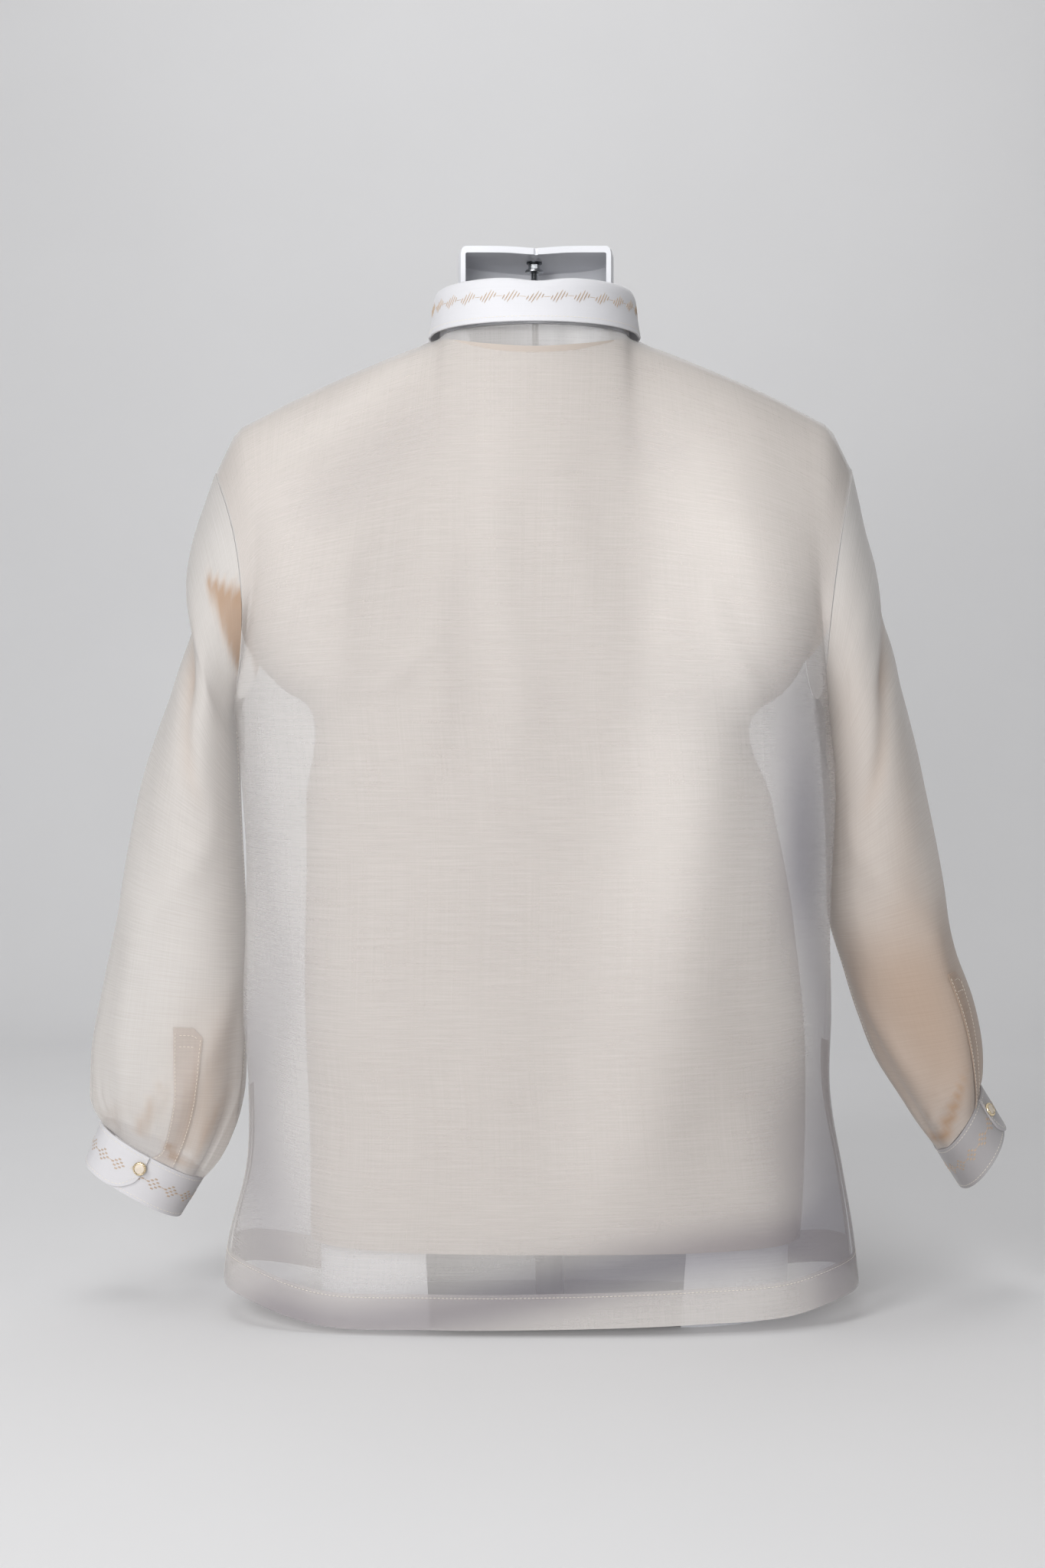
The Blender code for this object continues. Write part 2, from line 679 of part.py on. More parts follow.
SLEEVES = {"left": (left_sleeve, left_normals), "right": (right_sleeve, right_normals)}
for side_name, top_row, *columns in SLEEVE_PLACKETS:
    grid, normals = SLEEVES[side_name]
    rows = [top_row, *range(math.ceil(top_row), len(grid) - 1), len(grid) - SLEEVE_PLACKET_END]
    points, facing = patch(grid, normals, rows, columns)
    outer = SLEEVE_PLACKET_LIFT + STRIP
    wall(f"sleeve_placket_{side_name}", points, facing, outer, SLEEVE_PLACKET_LIFT, band_cloth)

# Cuffs


def cuff_grid(upper, lower, end_turn):
    """A band round the sleeve's end, whose last stretch laps over its first."""
    outer_x, outer_z, inner_x, inner_z, half_depth, *_ = upper
    high_row = (*upper[:6], 0, 0)
    low_row = (*lower, 0, 0)
    radius = (math.dist((outer_x, outer_z), (inner_x, inner_z)) / 2 + half_depth) / 2
    length = (2 * math.pi + OVERLAP_ANGLE) * radius
    to_end = [CUFF_CORNER * share for share in (0, 0.06, 0.2, 0.4, 0.7, 1)]
    plain = np.linspace(CUFF_CORNER, length, CUFF_COLUMNS)[1:]
    grid = []
    for distance in [*reversed(plain), *reversed(to_end)]:
        turn = end_turn + 2 * math.pi - distance / radius
        high = ring_point(high_row, turn, pleated=False)
        low = ring_point(low_row, turn, pleated=False)
        lap_start = end_turn + 2 * math.pi - OVERLAP_ANGLE - OVERLAP_EASE - 0.1
        ease = np.clip((turn - lap_start) / OVERLAP_EASE, 0, 1)
        lift = CUFF_LIFT + (STIFF + SEAM) * ease * ease * (3 - 2 * ease)
        short = max(0, CUFF_CORNER - distance)
        corner = (CUFF_CORNER - math.sqrt(CUFF_CORNER**2 - short**2)) / CUFF_HEIGHT
        run = low - high
        start = SEAM * 2 / np.linalg.norm(run)
        shares = start + (1 - start - corner) * np.linspace(0, 1, CUFF_ROWS)
        grid.append(([high + run * share for share in shares], lift))
    lifts = np.array([lift for _, lift in grid])
    points = np.array([column for column, _ in grid]).transpose(1, 0, 2)
    return points, lifts


def cuff(side_name, side, upper, lower, end_turn):
    points, lifts = cuff_grid(upper, lower, end_turn)
    normals = normals_of(points) * -side
    lifted = points + normals * lifts[None, :, None]
    normals = normals_of(lifted) * -side
    wall(f"cuff_{side_name}", lifted, normals, 0, -STIFF, cuff_cloth)
    return lifted, normals


CUFFS = {
    "left": cuff("left", -1, LEFT_SLEEVE[-1], LEFT_CUFF_LOW, LEFT_OVERLAP_END),
    "right": cuff("right", 1, RIGHT_SLEEVE[-1], RIGHT_CUFF_LOW, RIGHT_OVERLAP_END),
}

# Buttons


def turned(name, profile, origin, axis, finish, sides=12):
    """A round piece turned about an axis, from radius and height pairs, foot first."""
    turn = Vector((0, 0, 1)).rotation_difference(Vector(axis).normalized())
    points = [(0, 0, profile[0][1])]
    for radius, height in profile:
        for k in range(sides):
            angle = 2 * math.pi * k / sides
            points.append((radius * math.cos(angle), radius * math.sin(angle), height))
    points.append((0, 0, profile[-1][1]))
    faces = []
    for k in range(sides):
        nxt = (k + 1) % sides
        faces.append((0, 1 + nxt, 1 + k))
        for level in range(len(profile) - 1):
            low, high = 1 + level * sides, 1 + (level + 1) * sides
            faces.append((low + k, low + nxt, high + nxt, high + k))
        top = 1 + (len(profile) - 1) * sides
        faces.append((top + k, top + nxt, len(points) - 1))
    placed = [turn @ Vector(point) + Vector(origin) for point in points]
    return piece(name, placed, faces, finish)


BUTTON = (
    # radius, height
    (BUTTON_RADIUS - 0.0008, 0.0),
    (BUTTON_RADIUS, 0.0008),
    (BUTTON_RADIUS, 0.0020),
    (BUTTON_RADIUS - 0.0009, BUTTON_HEIGHT),
    (BUTTON_RADIUS - 0.0017, BUTTON_HEIGHT - 0.0006),
)


def button(name, point, normal, surface):
    turned(name, BUTTON, point + normal * (surface + BUTTON_SEAT), normal, button_shell)


for side_name, (grid, normals) in CUFFS.items():
    column = grid.shape[1] - CUFF_BUTTON_COLUMN
    spot, facing = patch(grid, normals, [CUFF_BUTTON_ROW], [column])
    button(f"button_cuff_{side_name}", spot[0, 0], facing[0, 0], 0)
for number, row in enumerate(FRONT_BUTTON_ROWS, 1):
    spot, facing = patch(front, front_normals, [row], [MIDDLE])
    button(f"button_front_{number}", spot[0, 0], facing[0, 0], SEAM + STRIP)

# Lining


def lining_grid(panel, normals, behind):
    """The lining's back or front: under the panel above, closer to the form below."""
    side = -1 if behind else 1
    shares = column_shares()
    neck_half = MIDDLE - SHOULDER_COLUMNS + 0.5

    def low_point(z, share):
        _, left, right, back_depth, front_depth = smooth(LINING_BODY, z)
        depth = -back_depth if behind else front_depth
        section = half_section(left, right, depth, side * SEAM / 2, LINING_FULLNESS)
        x, y = along_section(section, share)
        return np.array((x, y, z))

    grid = []
    for i in range(SEAM_STEPS + 1):
        row = []
        for k, share in enumerate(shares):
            dip = NECK_DIP_ROWS * max(0, 1 - (abs(k - MIDDLE) / neck_half) ** 2)
            at = dip + (SEAM_STEPS - dip) * i / SEAM_STEPS
            point = between(panel, at, k) - LINING_INSET * between(normals, at, k)
            drift = (at / SEAM_STEPS - LINING_DRIFT_START) / (1 - LINING_DRIFT_START)
            drift = np.clip(drift, 0, 1)
            drift = drift * drift * (3 - 2 * drift)
            mixed = point * (1 - drift) + low_point(point[2], share) * drift
            mixed[1] = max(mixed[1], point[1]) if behind else min(mixed[1], point[1])
            row.append(mixed)
        grid.append(row)
    for i in range(1, LINING_STEPS + 1):
        z = ARMPIT_Z + (LINING_HEM_Z - ARMPIT_Z) * i / LINING_STEPS
        grid.append([low_point(z, share) for share in shares])
    return np.array(grid)


LINED = (("lining_back", back, back_normals, True), ("lining_front", front, front_normals, False))
for name, panel, normals, behind in LINED:
    grid = lining_grid(panel, normals, behind)
    facing = normals_of(grid) * (1 if behind else -1)
    facing[0, : SHOULDER_COLUMNS + 1, 1] = 0
    facing[0, -SHOULDER_COLUMNS - 1 :, 1] = 0
    facing[SEAM_STEPS:, [0, -1], 1] = 0
    wall(name, grid, unit(facing), 0, -LINING, lining_cloth)

# Torso form


def form_section(z, inset):
    _, left, right, back_depth, front_depth = smooth(FORM, z)
    middle, half = (left + right) / 2, (right - left) / 2 - inset
    ring = []
    for k in range(FORM_COLUMNS):
        angle = 2 * math.pi * k / FORM_COLUMNS
        depth = front_depth if math.sin(angle) > 0 else back_depth
        ring.append(
            (
                middle + half * rounded(math.cos(angle), FORM_FULLNESS),
                (depth - inset) * rounded(math.sin(angle), FORM_FULLNESS),
            )
        )
    return ring


def stacked(name, levels, inset, lift):
    """A closed solid through the form's sections at the given heights, moved by lift."""
    points, faces = [], []
    for z in levels:
        points += [(x, y, z + lift) for x, y in form_section(max(z, 0), inset)]
    count = FORM_COLUMNS
    for level in range(len(levels) - 1):
        for k in range(count):
            nxt = (k + 1) % count
            low, high = level * count, (level + 1) * count
            faces.append((low + k, low + nxt, high + nxt, high + k))
    faces.append(tuple(reversed(range(count))))
    top = (len(levels) - 1) * count
    faces.append(tuple(range(top, top + count)))
    return piece(name, points, faces, form_plastic)


def cut(target, cutter):
    cutter.hide_render = True
    cutter.display_type = "WIRE"
    modifier = target.modifiers.new(cutter.name, "BOOLEAN")
    modifier.operation = "DIFFERENCE"
    modifier.object = cutter


form_levels = [row[0] for row in FORM]
form = stacked("torso_form", form_levels, 0, 0)
hollow_levels = [BELOW_FORM, *form_levels[1:-3], form_levels[-1] - NECK_PLATE + FORM_WALL]
hollow = stacked("form hollow", hollow_levels, FORM_WALL, -FORM_WALL)
cut(form, hollow)

profile = [(BEHIND, FORM_RIM[0][0])] + [(y, z) for z, y in FORM_RIM] + [(BEHIND, FORM_RIM[-1][0])]
cutter_mesh = bmesh.new()
outline = [cutter_mesh.verts.new((-ASIDE, y, z)) for y, z in profile]
side_face = cutter_mesh.faces.new(outline)
extruded = bmesh.ops.extrude_face_region(cutter_mesh, geom=[side_face])
moved = [v for v in extruded["geom"] if isinstance(v, bmesh.types.BMVert)]
bmesh.ops.translate(cutter_mesh, vec=(2 * ASIDE, 0, 0), verts=moved)
bmesh.ops.recalc_face_normals(cutter_mesh, faces=cutter_mesh.faces)
open_mesh = bpy.data.meshes.new("form opening")
cutter_mesh.to_mesh(open_mesh)
cutter_mesh.free()
opening = bpy.data.objects.new("form opening", open_mesh)
bpy.context.collection.objects.link(opening)
cut(form, opening)

# Post, rod, nut and washer inside the form


def rod_between(name, start, end, radius, finish, sides):
    start, end = Vector(start), Vector(end)
    length = (end - start).length
    turned(name, ((radius, 0), (radius, length)), start, end - start, finish, sides)


def ring(name, hole, radius, low, high, sides):
    """A flat ring round the rod, between two heights."""
    middle = ROD_TOP[0]
    points, faces = [], []
    for height, reach in ((low, hole), (low, radius), (high, radius), (high, hole)):
        for k in range(sides):
            angle = 2 * math.pi * k / sides
            points.append((middle + reach * math.cos(angle), reach * math.sin(angle), height))
    for level in range(4):
        this, other = level * sides, (level + 1) % 4 * sides
        for k in range(sides):
            nxt = (k + 1) % sides
            faces.append((this + k, this + nxt, other + nxt, other + k))
    return piece(name, points, faces, steel)


rod_between("post", POST_FOOT, POST_TOP, POST_RADIUS, post_paint, 16)
rod_foot = Vector(POST_TOP) + Vector((0, 0, SEAM))
rod_between("rod", rod_foot, ROD_TOP, ROD_RADIUS, steel, 12)
for ring_name, radius, low, high, sides in RINGS:
    ring(ring_name, RING_HOLE, radius, low, high, sides)

# Collar


def neck_chord(turn):
    """The neck seam as the panels have it, straight between their columns."""
    step = math.floor(turn / NECK_STEP + 1e-6)
    share = turn / NECK_STEP - step
    return neck_point(step * NECK_STEP) * (1 - share) + neck_point((step + 1) * NECK_STEP) * share


def neck_outward(turn):
    return unit(np.array((-math.cos(turn) / NECK_A, -math.sin(turn) / NECK_B, 0)))


def stand_point(turn, share):
    """The stand's outer face, from the neck seam at 0 to its top at 1."""
    smooth_foot, foot = neck_point(turn), neck_chord(turn)
    rise = np.array((0, 0, 2 * SEAM + STAND_HEIGHT * share))
    return foot * (1 - share) + smooth_foot * share - neck_outward(turn) * STAND_LEAN * share + rise


def fall_profile(turn):
    """The fall's visible face, as reach and height from the stand's top edge."""
    centre = FOLD_RADIUS - STIFF
    past_side = abs(turn - math.pi / 2) - math.pi / 2
    share = np.clip(past_side / (math.pi / 2 - COLLAR_FRONT_GAP), 0, 1)
    drop = FALL_DROP - SIDE_LIFT * math.sin(math.pi * share) + POINT_DROP * share**3
    spread = FALL_SPREAD + POINT_SPREAD * share
    profile = [(-STIFF, SEAM)]
    for k in range(FOLD_STEPS + 1):
        angle = math.pi * k / FOLD_STEPS
        height = FOLD_RISE + FOLD_RADIUS * math.sin(angle)
        profile.append((centre - FOLD_RADIUS * math.cos(angle), height))
    for k in range(1, FALL_ROWS + 1):
        down = k / FALL_ROWS
        profile.append((centre + FOLD_RADIUS + spread * down, FOLD_RISE - drop * down))
    return profile


first_turn = -math.pi / 2 + COLLAR_FRONT_GAP
side_steps = math.floor((math.pi / 2 - first_turn) / COLLAR_STEP)
middle_turns = [math.pi / 2 + COLLAR_STEP * k for k in range(-side_steps, side_steps + 1)]
collar_turns = [first_turn, *middle_turns, math.pi - first_turn]
stand_shares = np.linspace(1, 0, STAND_ROWS)
stand = np.array([[stand_point(turn, share) for turn in collar_turns] for share in stand_shares])
wall("collar_stand", stand, normals_of(stand), 0, -STIFF, collar_cloth)
fall = []
for turn in collar_turns:
    corner, outward = stand_point(turn, 1), neck_outward(turn)
    rise = np.array((0, 0, 1))
    fall.append([corner + outward * reach + rise * height for reach, height in fall_profile(turn)])
fall = np.array(fall).transpose(1, 0, 2)
wall("collar_fall", fall, normals_of(fall), 0, -STIFF, collar_cloth)

# The whole part stands centred on the origin

BOX_MIDDLE = (0.0009, 0.0036, 0.0)
centre = bpy.data.objects.new("barong", None)
bpy.context.collection.objects.link(centre)
centre.location = [-value for value in BOX_MIDDLE]
for made in list(bpy.data.objects):
    if made != centre:
        made.parent = centre
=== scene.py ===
"""A barong tagalog shirt of sheer leaf-fibre cloth on a hollow-backed torso form.

The shirt's back faces -Y and its buttoned front +Y; +X is the wearer's right side.
"""
import math

import bpy
import numpy as np
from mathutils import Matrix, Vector


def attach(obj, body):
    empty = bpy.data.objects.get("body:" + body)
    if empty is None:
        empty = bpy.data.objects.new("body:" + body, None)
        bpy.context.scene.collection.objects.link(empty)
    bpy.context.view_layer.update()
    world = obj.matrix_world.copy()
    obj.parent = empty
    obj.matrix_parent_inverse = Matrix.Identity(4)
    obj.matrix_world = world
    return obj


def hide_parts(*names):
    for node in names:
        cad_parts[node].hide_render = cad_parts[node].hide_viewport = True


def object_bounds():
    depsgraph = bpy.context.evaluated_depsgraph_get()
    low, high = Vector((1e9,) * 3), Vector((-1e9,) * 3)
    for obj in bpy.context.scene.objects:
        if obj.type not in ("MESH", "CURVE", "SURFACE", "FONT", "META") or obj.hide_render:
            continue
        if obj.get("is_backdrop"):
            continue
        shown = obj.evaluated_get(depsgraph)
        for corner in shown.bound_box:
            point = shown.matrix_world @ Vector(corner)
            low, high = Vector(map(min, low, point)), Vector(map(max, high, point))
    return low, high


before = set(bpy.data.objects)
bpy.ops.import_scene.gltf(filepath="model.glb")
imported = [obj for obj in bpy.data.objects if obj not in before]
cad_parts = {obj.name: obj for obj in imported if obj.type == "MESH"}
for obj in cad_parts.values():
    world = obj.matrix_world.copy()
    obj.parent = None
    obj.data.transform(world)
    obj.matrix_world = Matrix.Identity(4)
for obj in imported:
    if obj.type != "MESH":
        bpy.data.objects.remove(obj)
cad_low, cad_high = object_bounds()

# Torso form: a white plastic shell, open at the back, that the shirt is dressed on. It
# is one moulding with a flat lower rim and a flat-topped neck, 3.4 mm thick.

PART_MIDDLE = np.array((0.0009, 0.0036, 0.0))
FORM = (
    # z, left, right, back, front
    (0.000, -0.1720, 0.1880, 0.0880, 0.0900),
    (0.080, -0.1725, 0.1900, 0.0890, 0.0920),
    (0.160, -0.1730, 0.1935, 0.0900, 0.0940),
    (0.240, -0.1740, 0.1905, 0.0915, 0.0955),
    (0.320, -0.1750, 0.1780, 0.0925, 0.0975),
    (0.400, -0.1765, 0.1600, 0.0940, 0.0990),
    (0.480, -0.1800, 0.1550, 0.0950, 0.0990),
    (0.550, -0.1890, 0.1700, 0.0930, 0.0950),
    (0.610, -0.1990, 0.1840, 0.0880, 0.0880),
    (0.6555, -0.2050, 0.1900, 0.0780, 0.0760),
    (0.6810, -0.2000, 0.1850, 0.0660, 0.0640),
    (0.7024, -0.1810, 0.1660, 0.0560, 0.0550),
    (0.7160, -0.1500, 0.1360, 0.0500, 0.0490),
    (0.7284, -0.1190, 0.1050, 0.0450, 0.0450),
    (0.7360, -0.0870, 0.0730, 0.0420, 0.0410),
    (0.7450, -0.0730, 0.0585, 0.0450, 0.0420),
    (0.7550, -0.0690, 0.0560, 0.0550, 0.0440),
    (0.775, -0.0665, 0.0542, 0.0650, 0.0455),
    (0.8100, -0.0665, 0.0542, 0.0650, 0.0455),
    (0.8142, -0.0655, 0.0532, 0.0640, 0.0445),
    (0.8158, -0.0635, 0.0512, 0.0620, 0.0425),
)
FORM_RIM = (
    # z, y
    (-0.050, -0.0780),
    (0.600, -0.0780),
    (0.655, -0.0660),
    (0.690, -0.0480),
    (0.726, -0.0350),
    (0.752, -0.0290),
    (0.900, -0.0280),
)
FORM_FULLNESS = 2.6
FORM_WALL = 0.0034
NECK_PLATE = 0.0050
FORM_STEP = 0.008
FORM_COLUMNS = 72
PLATE_SHARES = (0.92, 0.8, 0.65, 0.5, 0.38, 0.27, 0.18, 0.10, 0.03)
TOP_DIP = 0.0016
TOP_DIP_WIDTH = 0.016
FORM_WHITE = (0.82, 0.83, 0.87)


def smooth(table, key):
    """A row of the table at the given value of its first column, on a smooth curve."""
    rows = np.array(table, float)
    return curve_at(rows[:, 0], rows, np.array([key]))[0]


def curve_at(keys, values, wanted):
    """Points at the wanted keys on a smooth curve through the values, along axis 0."""
    slopes = np.gradient(values, keys, axis=0)
    i = np.clip(np.searchsorted(keys, wanted) - 1, 0, len(keys) - 2)
    shape = (-1,) + (1,) * (values.ndim - 1)
    run = (keys[i + 1] - keys[i]).reshape(shape)
    t = np.clip((wanted.reshape(shape) - keys[i].reshape(shape)) / run, 0, 1)
    rise = (2 * t**3 - 3 * t**2 + 1) * values[i] + (3 * t**2 - 2 * t**3) * values[i + 1]
    bend = (t**3 - 2 * t**2 + t) * slopes[i] + (t**3 - t**2) * slopes[i + 1]
    return rise + run * bend


def rounded(value, fullness):
    """A cosine or sine turned into a superellipse's."""
    return math.copysign(abs(value) ** (2 / fullness), value)


def soft_step(value):
    """Nought to one, soft at both ends."""
    share = np.clip(value, 0, 1)
    return share * share * (3 - 2 * share)


def unit(vectors):
    return vectors / np.maximum(np.linalg.norm(vectors, axis=-1, keepdims=True), 1e-12)


def make_piece(name, points, faces, material, uvs=None, soft_angle=50, shade=None):
    """A mesh object at the world's origin, with its place in its points."""
    mesh = bpy.data.meshes.new(name)
    mesh.from_pydata([tuple(p) for p in np.asarray(points) - PART_MIDDLE], [], faces)
    if uvs is not None:
        layer = mesh.uv_layers.new(name="cloth")
        corner = np.zeros(len(mesh.loops), int)
        mesh.loops.foreach_get("vertex_index", corner)
        layer.uv.foreach_set("vector", np.asarray(uvs, float)[corner].ravel())
    if shade is not None:
        mesh.attributes.new("shade", "FLOAT", "POINT").data.foreach_set("value", shade)
    mesh.materials.append(material)
    mesh.shade_smooth()
    mesh.set_sharp_from_angle(angle=math.radians(soft_angle))
    made = bpy.data.objects.new(name, mesh)
    bpy.context.scene.collection.objects.link(made)
    return made


def shell(name, outer, inner, material, uvs=None, closed=False, shade=None):
    """A closed thin wall between two grids of points, outer and inner."""
    rows, columns = outer.shape[:2]
    points = np.concatenate([outer.reshape(-1, 3), inner.reshape(-1, 3)])
    under = rows * columns
    at = np.arange(under).reshape(rows, columns)
    if closed:
        at = np.concatenate([at, at[:, :1]], axis=1)
    a, b, c, d = at[:-1, :-1], at[1:, :-1], at[1:, 1:], at[:-1, 1:]
    faces = list(np.stack([a, b, c, d], axis=-1).reshape(-1, 4))
    faces += list(np.stack([d, c, b, a], axis=-1).reshape(-1, 4) + under)
    edges = [at[0], at[-1][::-1]]
    if not closed:
        edges += [at[::-1, 0], at[:, -1]]
    for edge in edges:
        start, end = edge[:-1], edge[1:]
        faces += list(np.stack([start, end, end + under, start + under], axis=-1))
    both = None if uvs is None else np.concatenate([uvs.reshape(-1, 2)] * 2)
    tones = None if shade is None else np.concatenate([shade.ravel()] * 2)
    faces = [tuple(int(k) for k in face) for face in faces]
    return make_piece(name, points, faces, material, both, shade=tones)


def new_material(name, colour, roughness, metallic=0.0, sheen=0.0):
    made = bpy.data.materials.new(name)
    made.use_nodes = True
    shader = made.node_tree.nodes["Principled BSDF"]
    shader.inputs["Base Color"].default_value = (*colour, 1)
    shader.inputs["Roughness"].default_value = roughness
    shader.inputs["Metallic"].default_value = metallic
    shader.inputs["Sheen Weight"].default_value = sheen
    return made, made.node_tree.nodes, made.node_tree.links, shader


def mottled(material_parts, scale, spread, bump=0.0, coordinates="Object"):
    """Adds a faint uneven tone, and a fine unevenness of the surface, to a material."""
    material, nodes, links, shader = material_parts
    where = nodes.new("ShaderNodeTexCoord")
    noise = nodes.new("ShaderNodeTexNoise")
    noise.inputs["Scale"].default_value = scale
    noise.inputs["Detail"].default_value = 4
    ramp = nodes.new("ShaderNodeValToRGB")
    base = shader.inputs["Base Color"].default_value[:3]
    ramp.color_ramp.elements[0].position = 0.3
    ramp.color_ramp.elements[0].color = (*[v * (1 - spread) for v in base], 1)
    ramp.color_ramp.elements[1].position = 0.7
    ramp.color_ramp.elements[1].color = (*[min(1, v * (1 + spread)) for v in base], 1)
    links.new(where.outputs[coordinates], noise.inputs["Vector"])
    links.new(noise.outputs["Fac"], ramp.inputs["Fac"])
    links.new(ramp.outputs["Color"], shader.inputs["Base Color"])
    if bump:
        raised = nodes.new("ShaderNodeBump")
        raised.inputs["Strength"].default_value = bump
        raised.inputs["Distance"].default_value = 0.0004
        links.new(noise.outputs["Fac"], raised.inputs["Height"])
        links.new(raised.outputs["Normal"], shader.inputs["Normal"])
    return material


def placed(made, node):
    """Puts a piece on the shirt's one body, in the place of a CAD node."""
    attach(made, "root")
    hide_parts(node)
    return made


def form_row(z, inset):
    """The form's section at a height, from its left rim round the front to its right rim."""
    _, left, right, back, front = smooth(FORM, z)
    rim_keys, rim_depths = zip(*FORM_RIM)
    rim = -np.interp(z, rim_keys, rim_depths)
    middle, half = (left + right) / 2, (right - left) / 2 - inset
    past = math.asin(min(1, (rim / (back - inset)) ** (FORM_FULLNESS / 2)))
    points = []
    for angle in np.linspace(math.pi + past, -past, 4 * FORM_COLUMNS):
        depth = front if math.sin(angle) > 0 else back
        x = middle + half * rounded(math.cos(angle), FORM_FULLNESS)
        points.append((x, (depth - inset) * rounded(math.sin(angle), FORM_FULLNESS)))
    points = np.array(points)
    points[[0, -1], 1] = -rim
    run = np.concatenate([[0], np.cumsum(np.linalg.norm(np.diff(points, axis=0), axis=1))])
    wanted = np.linspace(0, run[-1], FORM_COLUMNS)
    return np.stack([np.interp(wanted, run, points[:, k]) for k in range(2)], axis=-1)


def form_side(inset, plate):
    """One face of the form's wall, from the lower rim up and over the neck's flat top."""
    top = FORM[-1][0]
    heights = list(np.arange(0, FORM[-4][0], FORM_STEP)) + [row[0] for row in FORM[-4:]]
    grid = []
    for z in heights:
        row = form_row(z, inset)
        grid.append(np.column_stack([row, np.full(len(row), min(z, top - plate))]))
    rim = grid[-1]
    middle = np.array(((rim[0, 0] + rim[-1, 0]) / 2, rim[0, 1], rim[0, 2]))
    grid += [middle + (rim - middle) * share for share in PLATE_SHARES]
    grid = np.array(grid)
    dip = TOP_DIP * np.exp(-(((grid[..., 0] - middle[0]) / TOP_DIP_WIDTH) ** 2))
    grid[..., 2] -= dip * (grid[..., 2] > top - 2 * NECK_PLATE)
    return grid


form_plastic = mottled(new_material("form plastic", FORM_WHITE, 0.35), 18, 0.03, 0.1)
form_piece = shell("form_shell", form_side(0, 0), form_side(FORM_WALL, NECK_PLATE), form_plastic)
placed(form_piece, "torso_form")

# Post and neck fittings: a dark tube stands inside the form and carries a threaded rod,
# which a flanged washer, a hexagonal nut and a spacer clamp under the neck's top.

POST_RADIUS = 0.0110
POST_FOOT = (0.0050, 0.0, 0.0003)
POST_TOP = (-0.0062, 0.0, 0.735)
POST_EDGE = 0.0012
ROD_RADIUS = 0.0027
ROD_TOP = (-0.0073, 0.0, 0.8105)
ROD_GAP = 0.0003
THREAD_PITCH = 0.0009
THREAD_DEPTH = 0.0003
SPACER = (0.0060, 0.8079, 0.8105)
NUT = (0.0045, 0.8035, 0.8076)
WASHER = (0.0070, 0.8012, 0.8032)
RING_HOLE = 0.0034
ROUND_EDGE = 0.0004
PLATED_STEEL = (0.50, 0.52, 0.54)
DARK_STEEL = (0.10, 0.11, 0.12)
POST_BLACK = (0.045, 0.045, 0.05)


def ring_faces(rings, sides, looped=False):
    """Faces between round rings of points, the lowest ring first."""
    faces = []
    for level in range(rings if looped else rings - 1):
        low, high = level * sides, (level + 1) % rings * sides
        for k in range(sides):
            nxt = (k + 1) % sides
            faces.append((low + k, low + nxt, high + nxt, high + k))
    return faces


def turned(name, profile, origin, axis, material, sides=40):
    """A round piece turned about an axis, from radius and height pairs, foot first."""
    turn = Vector((0, 0, 1)).rotation_difference(Vector(axis).normalized())
    points = []
    for radius, height in profile:
        for k in range(sides):
            angle = 2 * math.pi * k / sides
            spot = Vector((radius * math.cos(angle), radius * math.sin(angle), height))
            points.append(turn @ spot + Vector(origin))
    faces = ring_faces(len(profile), sides)
    top = (len(profile) - 1) * sides
    faces.append(tuple(reversed(range(sides))))
    faces.append(tuple(range(top, top + sides)))
    return make_piece(name, points, faces, material, soft_angle=35)


def collar_ring(name, radius, low, high, sides, material):
    """A flat ring round the rod with softened outer corners."""
    soft = ROUND_EDGE
    profile = (
        (RING_HOLE, low), (radius - soft, low), (radius, low + soft),
        (radius, high - soft), (radius - soft, high), (RING_HOLE, high),
    )
    points = []
    for reach, height in profile:
        for k in range(sides):
            angle = 2 * math.pi * k / sides
            x, y = reach * math.cos(angle), reach * math.sin(angle)
            points.append((ROD_TOP[0] + x, y, height))
    faces = ring_faces(len(profile), sides, looped=True)
    return make_piece(name, points, faces, material, soft_angle=35)


plated = mottled(new_material("plated steel", PLATED_STEEL, 0.28, 1.0), 300, 0.12, 0.2)
dark_steel = mottled(new_material("darkened steel", DARK_STEEL, 0.35, 1.0), 300, 0.12, 0.2)
post_paint = mottled(new_material("post paint", POST_BLACK, 0.4), 120, 0.15, 0.15)

post_length = math.dist(POST_FOOT, POST_TOP)
post_axis = Vector(POST_TOP) - Vector(POST_FOOT)
post_profile = (
    (POST_RADIUS - POST_EDGE, 0), (POST_RADIUS, POST_EDGE),
    (POST_RADIUS, post_length - POST_EDGE), (POST_RADIUS - POST_EDGE, post_length),
)
rod_foot = Vector(POST_TOP) + Vector((0, 0, ROD_GAP))
rod_axis = Vector(ROD_TOP) - rod_foot
rod_profile = [(ROD_RADIUS - THREAD_DEPTH, 0)]
for k in range(1, int(rod_axis.length / THREAD_PITCH) * 2):
    rod_profile.append((ROD_RADIUS - THREAD_DEPTH * (k % 2), k * THREAD_PITCH / 2))
fittings = {
    "post": turned("post_tube", post_profile, POST_FOOT, post_axis, post_paint),
    "rod": turned("threaded_rod", rod_profile, rod_foot, rod_axis, plated, 16),
    "spacer": collar_ring("top_spacer", *SPACER, 32, dark_steel),
    "nut": collar_ring("hex_nut", *NUT, 6, plated),
    "washer": collar_ring("flanged_washer", *WASHER, 32, plated),
}
for node, made in fittings.items():
    placed(made, node)
